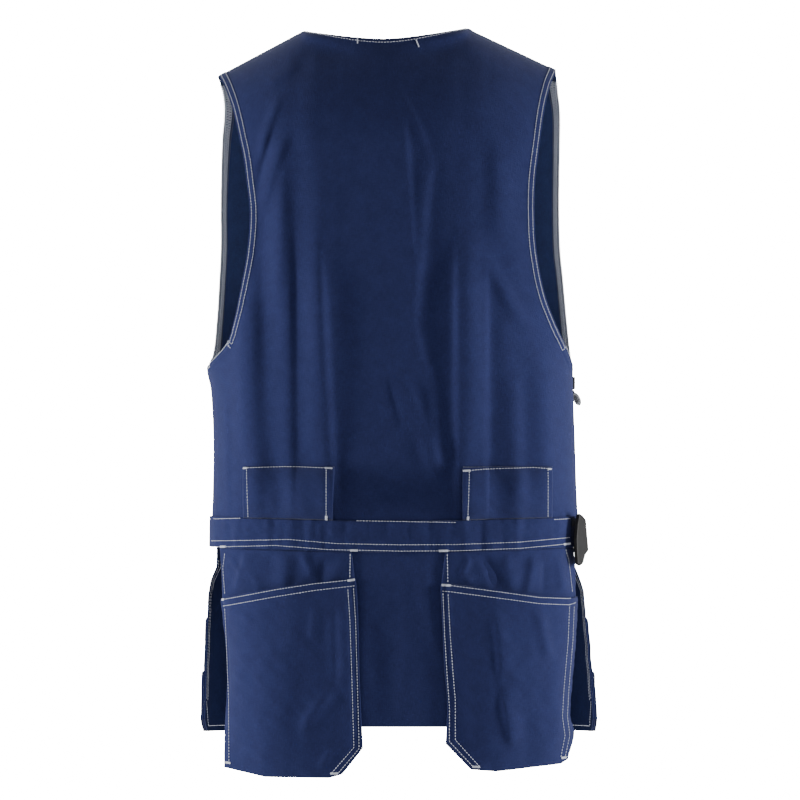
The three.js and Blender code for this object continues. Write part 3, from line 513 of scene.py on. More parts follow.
# Acetal, moulded with a spark-eroded grain: black, with a broad dull highlight on its rounded edges.
black_plastic = plain_finish("moulded_black_plastic", "#0e0e10", 0.55)
# The zips' teeth are lacquered metal: dark, with small sharp glints through the lacquer.
zip_metal = plain_finish("lacquered_zip_metal", "#2a2c30", 0.38, 0.6)
# The pull is soft rubber with moulded ribs, dull grey all round.
pull_rubber = plain_finish("ribbed_rubber", "#3a3c42", 0.6)
# Its face is a pale insert, the only light spot on the side of the vest.
pull_face = plain_finish("pale_moulded_face", "#c9ccd2", 0.5)
print("finishes in all:", len(bpy.data.materials))

# %% [markdown]
# ## Sewing thread
# A lockstitch shows as a row of short pale dashes with dark holes between them. A painted line would look
# flat from close by, and a curve with a bevel has no gaps, so each stitch is a small body of its own.

# %% Lines on a piece
# One small ellipsoid is the template of every visible stitch. Each row of a piece adds its stitches to
# that piece's thread, which becomes one mesh at the end.
thread_work = {}
stitch_pitch, stitch_long, thread_wide, thread_flat, thread_lift = 3.5, 2.75, 0.95, 0.75, 0.22
tack_pitch, tack_lean, tack_lift, tack_wide = 0.75, 0.16, 0.5, 1.0
line_step, look_around = 1.5, 0.3


def resample(line, pitch):
    """Points spaced by pitch along a line, and the line's direction there."""
    line = np.asarray(line, float)
    steps = np.linalg.norm(np.diff(line, axis=0), axis=1)
    along = np.concatenate([[0], np.cumsum(steps)])
    count = max(int(along[-1] / pitch), 1)
    at = (np.arange(count) + 0.5) * along[-1] / count
    points = np.stack([np.interp(at, along, line[:, i]) for i in range(line.shape[1])], 1)
    near = np.stack([np.interp(at + look_around * pitch, along, line[:, i])
                     - np.interp(at - look_around * pitch, along, line[:, i])
                     for i in range(line.shape[1])], 1)
    return points, near / np.linalg.norm(near, axis=1, keepdims=True)


def cast(tree, pixels):
    """A line in pixels, laid on a piece as seen from behind, in millimetres."""
    flat = resample(from_photo(pixels), line_step)[0]
    flat = np.concatenate([[from_photo(pixels)[0]], flat, [from_photo(pixels)[-1]]])
    found = [tree.ray_cast(Vector((x * MM, -1.0, z * MM)), Vector((0, 1, 0)))[0] for x, z in flat]
    return np.array([spot[:] for spot in found if spot is not None]) / MM


def settle(tree, points):
    """The nearest places on a piece and the directions out of it."""
    found = [tree.find_nearest(Vector(point * MM)) for point in points]
    return np.array([f[0][:] for f in found]) / MM, np.array([f[1][:] for f in found])


# %% Stitches, bartacks and the pull of a seam
def strands(name, middles, along, outward, long, wide, finish="white"):
    """Keeps stitches for a piece: where they are, where they run and face, and their size."""
    thread_work.setdefault((name, finish), []).append((middles, along, outward, long, wide))


def sew(name, line, behind=0.0):
    """A row of lockstitch along a line on a piece, or on its back face, which is behind millimetres in."""
    if len(line) < 2:
        return
    points, along = resample(line, stitch_pitch)
    points, outward = settle(made_pieces[name]["tree"], points)
    if behind:
        points, outward = points - outward * behind, -outward
    strands(name, points + outward * thread_lift, along, outward, stitch_long, thread_wide)


def bartack(name, line, tall=3.2):
    """A dense zigzag across a line, as at the end of a seam that takes strain."""
    if len(line) < 2:
        return
    points, along = resample(line, tack_pitch)
    points, outward = settle(made_pieces[name]["tree"], points)
    lean = np.where(np.arange(len(points)) % 2, tack_lean, -tack_lean)[:, None]
    across = np.cross(outward, along) + along * lean
    strands(name, points + outward * tack_lift, across, outward, tall, tack_wide)


near_step = 0.8
pucker_long, pucker_sway, sway_long = 8.5, 2.5, 23
groove_deep, groove_wide, pucker_high, pucker_wide = 0.5, 1.1, 0.16, 3.5


def nearest_on(line, points):
    """How far each point is from a line, and how far along the line the nearest place is."""
    spots, _ = resample(line, near_step)
    tree = KDTree(len(spots))
    for i, spot in enumerate(spots):
        tree.insert(Vector(spot), i)
    tree.balance()
    found = [tree.find(Vector(point)) for point in points.reshape(-1, 3).tolist()]
    shape = points.shape[:-1]
    return (np.array([f[2] for f in found]).reshape(shape),
            np.array([f[1] for f in found]).reshape(shape) * near_step)


def pucker(along):
    """The uneven wave of cloth along a seam."""
    return np.sin(2 * np.pi * along / pucker_long + pucker_sway * np.sin(along / sway_long))


def seam_relief(points, seams):
    """The groove that each row draws into the cloth, and the small puckers beside it."""
    total = np.zeros(points.shape[:-1])
    flat = points * np.array([1, 0, 1])
    for line in seams:
        x, z = from_photo(line).T
        away, along = nearest_on(np.stack([x, 0 * x, z], 1), flat)
        total -= groove_deep * np.exp(-((away / groove_wide) ** 2))
        total += pucker_high * pucker(along) * np.exp(-((away / pucker_wide) ** 2))
    return total


# %% [markdown]
# ## Cloth pieces
# A sheet of cloth starts as a flat grid, whose points are laid on the body surface row by row, and
# solidify gives it the thickness of canvas. The flat lengths of the grid become its UV map, so the weave
# follows the cloth as it would if it had been cut from the roll. Cloth simulation could drape the same
# sheets, but the folds of a photograph have known places, and a fitted grid puts them there.

# %% A sheet of cloth
made_pieces = {}


def even(count, dense=0.0, near=0):
    """Shares from 0 to 1, with extra ones within dense of both ends."""
    shares = np.linspace(0, 1, count + 1)
    if near:
        close = np.linspace(0, dense, near + 1)
        inside = shares[(shares > dense) & (shares < 1 - dense)]
        shares = np.concatenate([close, inside, 1 - close[::-1]])
    return shares


def grid_normals(points):
    across, up = np.gradient(points, axis=1), np.gradient(points, axis=0)
    normals = np.cross(across, up)
    return normals / np.linalg.norm(normals, axis=2, keepdims=True)


inner_slot, facing_in = 1, -0.5


def cloth_piece(name, across, up, surface, lift=0.0, thick=canvas, relief=None, finish=navy_canvas,
                push=None, seams=(), tacks=(), inside=navy_inside_painted_shade):
    """A sheet over surface(u, v). Its inner face stands lift off it, push moves it straight back, and
    relief(points) is added. seams and tacks are sewn on it, in pixels of the photograph."""
    u, v = np.meshgrid(across, up)
    points = surface(u, v)
    normals = grid_normals(points)
    outward = (normals[..., 0] * (points[..., 0] - centre_at(points[..., 2]))
               + normals[..., 1] * points[..., 1]).mean() > 0
    if not outward:
        normals = -normals
    stand = lift(u, v, points) if callable(lift) else np.full(u.shape, float(lift))
    if relief:
        stand = stand + relief(points)
    if seams:
        stand = stand + seam_relief(points, seams)
    if push:
        points = points - push(u, v)[..., None] * np.array([0, 1, 0])
    outer = points + normals * (stand + thick)[..., None]
    steps_u = np.linalg.norm(np.diff(outer, axis=1), axis=2)
    steps_v = np.linalg.norm(np.diff(outer, axis=0), axis=2)
    flat_u = np.pad(np.cumsum(steps_u, axis=1), ((0, 0), (1, 0)))
    flat_u = flat_u - flat_u[:, [len(across) // 2]]
    flat_v = np.pad(np.cumsum(steps_v, axis=0), ((1, 0), (0, 0)))
    mesh = bpy.data.meshes.new(name)
    work = bmesh.new()
    bmesh.ops.create_grid(work, x_segments=len(across) - 1, y_segments=len(up) - 1, size=1.0)
    place = work.verts.layers.int.new("place")
    spots = (outer.reshape(-1, 3) * MM).tolist()
    for vert in work.verts:
        column = round((vert.co.x + 1) / 2 * (len(across) - 1))
        row = round((vert.co.y + 1) / 2 * (len(up) - 1))
        vert[place] = row * len(across) + column
        vert.co = spots[vert[place]]
    if not outward:
        bmesh.ops.reverse_faces(work, faces=work.faces[:])
    work.normal_update()
    tree = BVHTree.FromBMesh(work)
    bmesh.ops.solidify(work, geom=work.faces[:], thickness=thick * MM)
    facing_out = normals.reshape(-1, 3)
    for face in work.faces:
        face.smooth = True
        # Faces that look inward take the second slot, which on canvas pieces holds a darker copy: painted
        # shade.
        if face.normal @ Vector(facing_out[face.verts[0][place]]) < facing_in:
            face.material_index = inner_slot
    work.to_mesh(mesh)
    work.free()
    index = np.zeros(len(mesh.vertices), int)
    mesh.attributes["place"].data.foreach_get("value", index)
    corner = np.zeros(len(mesh.loops), int)
    mesh.loops.foreach_get("vertex_index", corner)
    flat = np.stack([flat_u.ravel(), flat_v.ravel()], 1)[index[corner]] * MM
    mesh.uv_layers.new(name="weave").data.foreach_set("uv", flat.ravel())
    mesh.attributes.remove(mesh.attributes["place"])
    mesh.materials.append(finish)
    # Canvas pieces get the darker painted-shade copy in that second slot.
    mesh.materials.append(inside if finish == navy_canvas else finish)
    made = bpy.data.objects.new(name, mesh)
    bpy.context.scene.collection.objects.link(made)
    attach(made, "root")
    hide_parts(name.replace("_cloth", ""))
    made_pieces[name] = {"outer": outer, "across": across, "up": up, "tree": tree}
    for line in seams:
        sew(name, cast(tree, line))
    for tack in tacks:
        bartack(name, cast(tree, tack))


# %% [markdown]
# ## The back
# The back panel is cut in one, from the waist seam to the shoulders and the neck edge. It could be a tube
# with armholes cut out of it, but cut edges cross the grid, and a hem needs a grid that runs along it. So
# the side columns follow the armhole edges, and turn slowly to the side seams below them.

# %% Columns of the back panel
band_overlap, pull_share = 4, 0.2
neck_from, neck_to = 0.25, 0.75
panel_bottom = -(band_top_drop + band_tall - band_overlap)
chest = -chest_drop
underarm = -back_armhole["drop"][-1] * body_drop
print(f"back panel: from {panel_bottom} mm up, armholes open above {underarm:.0f} mm")


def armhole_angle(rows, side, z, face):
    x = read(rows, "drop", side, -z / body_drop) * body_half_width
    return np.where(z <= underarm, SIDES[side] * np.pi / 2, angle_at(x, z, face))


def eased_angle(rows, side, z, face):
    """As armhole_angle, but turned slowly to the side seam from well above the underarm."""
    start = -slow_turn_drop
    below = mix(armhole_angle(rows, side, np.full_like(z, start), face), SIDES[side] * np.pi / 2,
                smooth((start - z) / slow_turn_tall))
    return np.where(z >= start, armhole_angle(rows, side, z, face), below)


def edge_pull(u, rows, side, z, face):
    """What brings the columns next to the edge back to the armhole's own line."""
    share = np.maximum(0, 1 - u / pull_share) ** 2
    return (armhole_angle(rows, side, z, face) - eased_angle(rows, side, z, face)) * share


def back_row(u, z):
    u, z = np.broadcast_arrays(np.asarray(u, float), np.asarray(z, float))
    left = eased_angle(back_armhole, "left", z, "back")
    right = eased_angle(back_armhole, "right", z, "back")
    pull = (edge_pull(u, back_armhole, "left", z, "back")
            + edge_pull(1 - u, back_armhole, "right", z, "back"))
    return x_at_angle(mix(left, right, u) + pull, z, "back")


def top_across(u):
    return np.interp(u, [0, neck_from, neck_to, 1],
                     [-shoulder_tip_left, -neck_half_width, neck_half_width, shoulder_tip_right])


# %% Surface of the back panel
def back_panel(u, v):
    """v runs from the waist to the chest at 1 and on to the top edge at 2."""
    z_low = mix(panel_bottom, chest, np.minimum(v, 1))
    x_low = back_row(u, z_low)
    share = np.maximum(v - 1, 0)
    left_z = mix(chest, top_edge(-shoulder_tip_left), share)
    right_z = mix(chest, top_edge(shoulder_tip_right), share)
    left_pull = back_row(0, left_z) - mix(back_row(0, chest), -shoulder_tip_left, share)
    right_pull = back_row(1, right_z) - mix(back_row(1, chest), shoulder_tip_right, share)
    x_top = mix(back_row(u, chest), top_across(u), share) + left_pull * (1 - u) + right_pull * u
    x = np.where(v <= 1, x_low, x_top)
    return back_point(x, np.where(v <= 1, z_low, mix(chest, top_edge(x), share)))


# %% [markdown]
# ## Hems
# The armhole edges are turned in and sewn with two rows, and the neck edge with one. A hem is twice as
# thick as the cloth, so it stands up a little, sinks under each row and puckers between them. It could be
# a second strip of cloth, but the step is under a millimetre, so it is relief on the panel itself.

# %% Hems of the armholes and of the neck
hem_wide, hem_rows = 9.8, (2.4, 8.4)
neck_hem_wide, neck_row = 7.2, 5.9
hem_high, hem_step, row_deep, row_wide = 0.75, 1.3, 0.4, 0.8
hem_pucker_high, hem_pucker_share = 0.22, 0.75
fine = 1
edge_v = np.linspace((underarm - panel_bottom) / (chest - panel_bottom), 1, 130)
edge_v = np.concatenate([edge_v[1:], np.linspace(1, 2, 50)[1:]])
hem_edges = [back_panel(np.full_like(edge_v, u), edge_v) for u in (0.0, 1.0)]
neck_u = np.linspace(neck_from, neck_to, 120)
neck_line = back_panel(neck_u, np.full_like(neck_u, 2.0))
print(f"hems: {hem_wide} mm at the armholes, {neck_hem_wide} mm at the neck")


def hem_relief(points):
    total = np.zeros(points.shape[:-1])
    for edge, wide, rows in [(hem_edges[0], hem_wide, hem_rows), (hem_edges[1], hem_wide, hem_rows),
                             (neck_line, neck_hem_wide, (neck_row,))]:
        away, along = nearest_on(edge, points)
        total += hem_high * smooth((wide - away) / hem_step)
        for row in rows:
            total -= row_deep * np.exp(-(((away - row) / row_wide) ** 2))
        spread = hem_pucker_share * wide
        total += hem_pucker_high * pucker(along) * np.exp(-(((away - wide / 2) / spread) ** 2))
    return total


# %% Back panel
panel_across = even(140 // fine, 0.03, 14)
panel_up = np.concatenate([np.linspace(0, 1, 160 // fine)[:-1], 1 + even(44 // fine, 0.1, 10)])
panel_up = np.unique(panel_up.clip(0, 2))
cloth_piece("back_panel_cloth", panel_across, panel_up, back_panel, relief=hem_relief)


# %% Rows along the hems
def inset_row(name, edge, inside, distance):
    """A row of stitches at a distance from an edge, on the side of a point inside the piece."""
    tree = made_pieces[name]["tree"]
    spots, along = resample(edge, line_step)
    spots, outward = settle(tree, spots)
    inward = np.cross(outward, along)
    inward *= np.sign(((inside - spots) * inward).sum(1))[:, None]
    sew(name, settle(tree, spots + inward * distance)[0])


blades = np.array([0.0, -120.0, -200.0])
neck_tacks, neck_tack_tall = [[(357.6, 37.5), (357.6, 43.8)], [(415.9, 39.8), (418.8, 47.3)]], 1.8
back_outer = made_pieces["back_panel_cloth"]["outer"]
for column in (0, -1):
    edge = back_outer[:, column]
    for row in hem_rows:
        inset_row("back_panel_cloth", edge[edge[:, 2] > underarm], blades, row)
top_line = back_outer[-1]
inset_row("back_panel_cloth", top_line[np.abs(top_line[:, 0]) <= neck_half_width], blades, neck_row)
back_tree = made_pieces["back_panel_cloth"]["tree"]
for tack in neck_tacks:
    bartack("back_panel_cloth", cast(back_tree, tack), tall=neck_tack_tall)
print("rows and tacks on the back panel:", len(thread_work["back_panel_cloth", "white"]))

# %% [markdown]
# ## The fronts
# The photograph hides the fronts, but for their armhole edges and their inner faces seen through the
# armholes. They are finished plainly, with a V neck and a centre zip. Each half is a grid like the back's,
# from the side seam to the zip, so that front and back share their edges at the sides and shoulders.

# %% Front panels
front_gap = front_zip_wide / 2 + seam_gap


def front_inner(side, z):
    low = centre_at(z) + side * front_gap
    high = mix(low, side * neck_half_width, (z + neck_front_drop) / neck_front_drop)
    return np.where(z <= -neck_front_drop, low, high)


def front_row(side, u, z):
    u, z = np.broadcast_arrays(np.asarray(u, float), np.asarray(z, float))
    name = "left" if side < 0 else "right"
    outer = eased_angle(front_armhole, name, z, "front")
    inner = angle_at(front_inner(side, z), z, "front")
    return x_at_angle(mix(outer, inner, u) + edge_pull(u, front_armhole, name, z, "front"), z, "front")


def front_panel(side, u, v):
    z_low = mix(panel_bottom, chest, np.minimum(v, 1))
    x_low = front_row(side, u, z_low)
    tip = -shoulder_tip_left if side < 0 else shoulder_tip_right
    share = np.maximum(v - 1, 0)
    neck = side * neck_half_width
    outer_z, inner_z = mix(chest, shoulder_line(tip), share), mix(chest, shoulder_line(neck), share)
    outer_pull = front_row(side, 0, outer_z) - mix(front_row(side, 0, chest), tip, share)
    inner_pull = front_inner(side, inner_z) - mix(front_inner(side, chest), neck, share)
    x_top = (mix(front_row(side, u, chest), mix(tip, neck, u), share)
             + outer_pull * (1 - u) + inner_pull * u)
    x = np.where(v <= 1, x_low, x_top)
    return front_point(x, np.where(v <= 1, z_low, mix(chest, shoulder_line(x), share)))


front_up = np.unique(np.concatenate([np.linspace(0, 1, 70), np.linspace(1, 2, 26)]))
# The fronts take the darker canvas copy on both faces: painted shade, since from behind they are seen only
# in shade through the armholes.
for side_name, side in SIDES.items():
    cloth_piece(f"front_panel_{side_name}_cloth", even(50, 0.06, 8), front_up,
                lambda u, v, side=side: front_panel(side, u, v), finish=navy_inside_painted_shade)

# %% [markdown]
# ## Armhole facings
# A strip of tape is sewn inside each front armhole, and its raw edge is overlocked together with the
# panel's: light grey loops cross the edge, and chains run along both sides of it. Seen from behind it is
# the pale serrated line inside the armhole. A noise on a pale strip would blur, so each loop is a stitch.

# %% Overlock along the front armholes
facing_shown, facing_low, facing_high, facing_probe = 14, 0.44, 1.88, 0.06
overlock_pitch, overlock_steps, chain_share = 3.2, 2400, 0.6
chain_lift, rim_out, rim_lift = 0.5, 0.9, 0.3
chain_pitch, chain_long, chain_wide, loop_wide = 2.2, 1.9, 0.9, 0.75
facing_up = front_up[(front_up >= facing_low) & (front_up <= facing_high)]


def overlock(name, surface):
    """Grey loops from the raw edge of the panel to a chain on the facing, and a chain at either end."""
    tree = made_pieces[name]["tree"]
    v = np.linspace(facing_up[0], facing_up[-1], overlock_steps)
    edge, inner = [surface(np.full_like(v, share)[:, None], v[:, None])[:, 0]
                   for share in (0.0, chain_share)]
    long = np.concatenate([[0], np.cumsum(np.linalg.norm(np.diff(edge, axis=0), axis=1))])
    pick = np.searchsorted(long, np.arange(0, long[-1], overlock_pitch / 2))
    edge, outward = settle(tree, edge[pick])
    inner, turned = settle(tree, inner[pick])
    beyond = (edge - inner) / np.linalg.norm(edge - inner, axis=1, keepdims=True)
    rim = edge - outward * (tape + chain_lift) + beyond * rim_out
    edge = edge + outward * (facing_gap + canvas + rim_lift) + beyond * rim_out
    inner = inner - turned * (tape + chain_lift)
    for line in (edge, rim, inner):
        points, along = resample(line, chain_pitch)
        strands(name, points, along, -settle(tree, points)[1], chain_long, chain_wide, "grey")
    for first, second in ((edge[:-1:2], rim[1::2]), (rim[1:-1:2], edge[2::2]), (rim[:-1:2], inner[1::2]),
                          (inner[1:-1:2], rim[2::2])):
        count = min(len(first), len(second))
        run = second[:count] - first[:count]
        long = np.linalg.norm(run, axis=1)
        strands(name, (first[:count] + second[:count]) / 2, run / long[:, None], -turned[:count],
                long.mean(), loop_wide, "grey")


# %% Facings
for side_name, side in SIDES.items():
    def facing(u, v, side=side):
        edge, inward = front_panel(side, 0 * v, v), front_panel(side, 0 * v + facing_probe, v)
        across = np.linalg.norm(edge - inward, axis=-1)
        return front_panel(side, facing_probe * u * facing_shown / across, v)

    cloth_piece(f"armhole_facing_{side_name}_cloth", even(8), facing_up, facing,
                lift=-facing_gap - tape, thick=tape, finish=navy_tape)
    overlock(f"armhole_facing_{side_name}_cloth", facing)

# %% [markdown]
# ## Hanger loop
# A short tape is caught at both ends under the neck hem, on the inside, and hangs in a shallow curve. It
# is a narrow sheet on the back's own surface, moved inwards so that it stands clear in the middle.

# %% Hanger loop
# The CAD tape is drawn without its woven edges, which add a little to its width.
hanger_edge = 0.8
hanger_tape_shown = hanger_tape_tall + hanger_edge


def hanger(u, v):
    x = mix(hanger_left, hanger_right, u)
    return back_point(x, neck_edge(x) - canvas - hanger_droop * np.sin(np.pi * u)
                      - hanger_tape_shown * (1 - v))


cloth_piece("hanger_loop_cloth", even(40), even(4), hanger, thick=tape, finish=navy_tape,
            lift=lambda u, v, p: -layer_gap - tape - hanger_stand * np.sin(np.pi * u))

# %% [markdown]
# ## The waistband and the belt tunnels
# The waistband is a folded strip sewn over the seam of back and tail. Two wide loops above it take a
# tool belt: each is a strip of canvas sewn down at its top edge and caught in the band at its foot. The
# band could be an extruded ring, but it has to follow the panel's folds, so it is a sheet on that surface.

# %% Waistband
def band_z(x, v):
    dip = band_sag * (1 - ((x - centre_at(np.full_like(x, -band_top_drop))) / body_half_width) ** 2)
    return -band_top_drop - dip - band_tall * (1 - v)


band_lift = canvas + layer_gap
band_at = -band_top_drop - band_tall / 2
gather_stand, gather_stretch = 0.9, 0.12


def band_back(u, v):
    x = x_at_angle(mix(-np.pi / 2, np.pi / 2, u), np.full_like(u, band_at), "back")
    z = band_z(x, v)
    return back_point(back_row(u, z), z)


# %% Rows and gathers of the waistband
band_seams = [
    [(213, 519), (241, 518)], [(336.5, 520), (400, 521), (456, 522)], [(553.6, 519.4), (570.5, 518.6)],
    [(211, 541), (270, 539.5), (289, 539), (336, 543), (400, 544.3), (456, 544), (519, 541.7), (570, 537.4)],
    [(211, 547), (276, 545), (328, 549), (400, 550.5), (456, 550.2), (519, 548), (570, 543.6)]]
band_tacks = [[(220.5, 546.8), (226, 546.6)], [(350, 549.8), (358, 550)], [(438.6, 550.3), (447.7, 550.2)],
              [(563.5, 544.2), (570.5, 543.5)]]


def gathers(points):
    """The band is drawn in over the panel, so it stands in short upright folds."""
    x, z = points[..., 0], points[..., 2]
    upright = ripple(x, z * gather_stretch, seed=11, size=15, high=0.55)
    return gather_stand + upright + ripple(x, z, seed=12, size=9, high=0.12)


cloth_piece("waistband_back_cloth", even(300 // fine), even(26), band_back, lift=band_lift, relief=gathers,
            seams=band_seams, tacks=band_tacks)

# %% Front halves of the waistband
# The right half starts where the strap from the buckle ends.
strap_end = 60
strap_share = strap_end / (section(band_at, "front_depth") * body_depth_front)
strap_start = np.arcsin((1 - strap_share**section_power) ** (1 / section_power))
band_starts = {"left": -np.pi / 2, "right": strap_start}
for side_name, side in SIDES.items():
    def band_front(u, v, side=side, start=band_starts[side_name]):
        z_mid = np.full_like(u, band_at)
        end = angle_at(centre_at(z_mid) + side * seam_gap, z_mid, "front")
        angle = mix(start, end, u)
        z = band_z(x_at_angle(angle, z_mid, "front"), v)
        return front_point(x_at_angle(angle, z, "front"), z)

    cloth_piece(f"waistband_front_{side_name}_cloth", even(70), even(10), band_front,
                lift=front_zip_thick + layer_gap)

# %% Rows and creases of the belt tunnels
tunnel_seams = {
    "left": [[(241.5, 468), (289, 466.3), (332.5, 468)], [(247, 469), (248.5, 519)],
             [(326.5, 469), (326.5, 519)]],
    "right": [[(462, 471), (484, 469), (533, 467.4), (554, 469)], [(469, 471), (467.5, 519)],
              [(547.6, 469), (547.6, 520)]]}
tunnel_tacks = {
    "left": [[(241.5, 468.2), (248, 468)], [(325.6, 468), (332.5, 468.2)], [(326.5, 515), (326.6, 519.5)]],
    "right": [[(462, 470.8), (470, 470.4)], [(547, 469), (554.5, 469)], [(467.8, 516), (467.5, 519.5)]]}
tunnel_creases = {
    "left": table(CREASE, [(282, 462, 280, 530, 0, 10, 14, -1.6), (300, 462, 302, 530, 0, 18, 14, 1.6),
                           (262, 480, 268, 528, 0, 8, 8, -0.8)]),
    "right": table(CREASE, [(500, 462, 496, 530, 0, 10, 12, -1.4), (520, 462, 523, 530, 0, 14, 12, 1.4),
                            (484, 505, 515, 520, 0, 5, 5, -0.5)])}
tunnel_arch = 0.8
print("rows on the tunnels:", sum(len(rows) for rows in tunnel_seams.values()))

# %% Belt tunnels
for side_name, at in tunnel_at.items():
    def tunnel(u, v, at=at):
        x = at * body_half_width + (u - 0.5) * tunnel_wide
        return back_point(x, mix(band_z(x, 1) + seam_gap, -tunnel_top_drop, v))

    def tunnel_push(u, v, left=side_name == "left"):
        outward = 1 - u if left else u
        return tunnel_stand * (1 - tunnel_ease * outward) * np.sin(np.pi * v).clip(0) ** tunnel_arch

    cloth_piece(f"belt_tunnel_{side_name}_cloth", even(72), even(50), tunnel, lift=band_lift,
                push=tunnel_push, relief=worn(tunnel_creases[side_name], seed=21, size=16, high=0.14),
                seams=tunnel_seams[side_name], tacks=tunnel_tacks[side_name])

# %% [markdown]
# ## Tail
# Below the band the back goes on as a short skirt, which the holster pockets hang over. Only its middle
# shows, nearly flat, with a few soft creases, so one wide grid is enough.

# %% Tail
tail_creases = table(CREASE, [(420, 556, 439, 660, -4, 9, 7, 1.5), (366, 560, 364, 720, 0, 8, 12, 1.2),
                              (390, 600, 392, 724, 0, 16, 16, 0.8)])


def tail(u, v):
    z = mix(-tail_drop, panel_bottom - seam_gap, v)
    return back_point(x_at_angle(mix(-tail_angle, tail_angle, u), z, "back"), z)


cloth_piece("tail_panel_cloth", even(110), even(76), tail,
            relief=worn(tail_creases, seed=31, size=30, high=0.3, stretch=0.5))

# %% [markdown]
# ## Back holster pockets
# Each pocket is a backing that hangs from the band and a pouch on it with a slanted mouth. The pouch
# bellies out, as it does when it has carried nails and tools. A flat outline could be filled and bent,
# but here too the rows of the grid run from edge to edge, so a pouch keeps its cut length as it swells.

# %% Surface of the back pockets
belly_curve, belly_margin, belly_rise = 0.7, 0.03, 0.35
widest, foot_rounds, foot_guess = 0.985, 6, 0.9


def pocket_top(x):
    return band_z(x, 0) - seam_gap


def edge_share(u):
    return np.sin(np.pi * np.clip(u, 0, 1)).clip(0) ** belly_curve


def belly(u, v):
    """How far a pouch stands out, from its side edges and from its foot up."""
    return edge_share(u) * np.sin(np.minimum(1, v / belly_rise) * np.pi / 2)


def pocket_surface(side_name, inset, top_of):
    """The surface of one pocket piece. The foot depends on x and x on the height, so both are found by
    a few rounds."""
    outline = back_pockets[side_name]

    def across(u, z):
        ends = [read(outline[name], "drop", "at", -z / tail_drop) * body_half_width
                for name in ("outer", "inner")]
        ends = ends if side_name == "left" else ends[::-1]
        far = centre_at(z) + half_at(z, "back") * widest
        low, high = [angle_at(np.minimum(x, far), z, "back") for x in ends]
        margin = inset / body_half_width
        return x_at_angle(mix(low + margin, high - margin, u), z, "back")

    def surface(u, v):
        z = np.full_like(u, -tail_drop * foot_guess)
        for _ in range(foot_rounds):
            x = across(u, z)
            foot = -np.interp(x / body_half_width, *outline["bottom"].values()) * tail_drop
            z = mix(foot + inset, top_of(x), v)
        return back_point(across(u, z), z)
    return surface


# %% Rows and creases of the backings
backing_seams = {
    "left": [[(225, 553), (223, 568), (225, 594)], [(350.5, 553), (350, 577)]],
    "right": [[(447, 553), (447.7, 582)], [(565.5, 549), (568.7, 560), (572.4, 592)]]}
backing_creases = {
    "left": table(CREASE, [
        (249, 550, 237, 592, 2, 6, 17, -0.2), (250, 549, 236, 594, 2, 5, 18, 3.4),
        (231, 556, 244, 575, 0, 3, 4, 1.2), (292, 550, 284, 592, -2, 11, 9, 3.0),
        (300, 549, 314, 580, 2, 5, 6, 2.2), (325, 556, 322, 588, 0, 5, 6, -1.8),
        (345, 553, 332, 582, 2, 6, 6, 1.6), (256, 572, 262, 596, 0, 5, 5, 1.0)]),
    "right": table(CREASE, [
        (466, 554, 458, 574, 4, 3, 4, 2.0), (458, 572, 474, 580, -3, 3, 4, 1.6),
        (480, 554, 496, 592, 3, 6, 7, -2.6), (505, 552, 512, 596, 0, 8, 10, 2.6),
        (533, 552, 524, 598, 0, 5, 9, 2.4), (552, 550, 560, 598, 2, 6, 8, 2.8),
        (543, 556, 541, 598, 0, 4, 5, -1.8)])}
print("creases of the backings:", sum(len(rows["high"]) for rows in backing_creases.values()))

# %% Rows and creases of the pouches
pouch_seams = {
    "left": [[(222, 599.6), (276, 589), (315, 583), (355.4, 578.8)],
             [(223, 606), (276, 596), (315, 589.6), (355.2, 585)],
             [(348, 588), (350, 619), (352, 677), (354, 746), (331.5, 772)],
             [(353.6, 587), (355.6, 619), (357.4, 677), (359.3, 747), (338.5, 771.5)],
             [(225, 608), (227, 650), (229, 700), (229.3, 761)]],
    "right": [[(441.5, 584.2), (450.6, 584.8), (503, 591.7), (539, 596.9), (569, 598.4), (576, 596)],
              [(441.7, 590.4), (450.6, 591), (503, 598), (539, 603), (569, 604.6), (575.5, 602.6)],
              [(442.8, 592), (444.4, 633), (447, 677), (449.2, 707), (449, 740), (472.5, 765)],
              [(448, 593), (450, 633), (452.6, 670), (455, 699), (455, 738.5), (479.5, 765.5)],
              [(574, 606), (572.6, 640), (568.4, 690), (567, 716), (569.5, 735), (565, 756)],
              [(569.2, 606), (567.8, 640), (563.4, 690), (562, 716), (564.6, 735), (560.5, 757)]]}
pouch_tacks = {
    "left": [[(347.5, 580), (355, 579)], [(330.5, 772), (338.5, 771.8)], [(226, 762), (231, 762.5)],
             [(222, 599.6), (224.5, 599.2)]],
    "right": [[(441.5, 584.4), (450.6, 584.8)], [(571.5, 597.6), (576, 596.4)],
              [(472, 765.2), (479.5, 765.4)], [(561, 757.5), (566, 757)]]}
pouch_creases = {
    "left": table(CREASE, [
        (333, 590, 336, 700, 2, 9, 6, 2.8), (337, 684, 304, 738, -4, 7, 6, 2.4),
        (269, 612, 270, 800, 0, 22, 36, 3.4), (248, 612, 244, 700, 0, 9, 12, 1.4),
        (230, 612, 262, 622, 2, 5, 5, 1.3), (318, 604, 315, 640, 0, 5, 6, 1.2),
        (336, 745, 320, 768, 0, 5, 6, 1.8)]),
    "right": table(CREASE, [
        (490, 600, 497, 690, 2, 5, 14, 3.4), (497, 678, 511, 752, -2, 5, 12, 3.2),
        (526, 604, 540, 668, 3, 6, 8, 2.6), (458, 640, 462, 770, 0, 8, 14, -1.4),
        (550, 650, 545, 780, 0, 14, 12, 2.0), (520, 700, 524, 775, 0, 10, 10, -1.6),
        (460, 604, 478, 612, 1, 4, 4, 1.0)])}
print("creases of the pouches:", sum(len(rows["high"]) for rows in pouch_creases.values()))

# %% Back holster pockets
pouch_lift = band_lift + canvas + layer_gap
backing_inset = 1


def within(u):
    """Shares across a pouch, measured between the seams at its two edges."""
    return (u - belly_margin) / (1 - 2 * belly_margin)


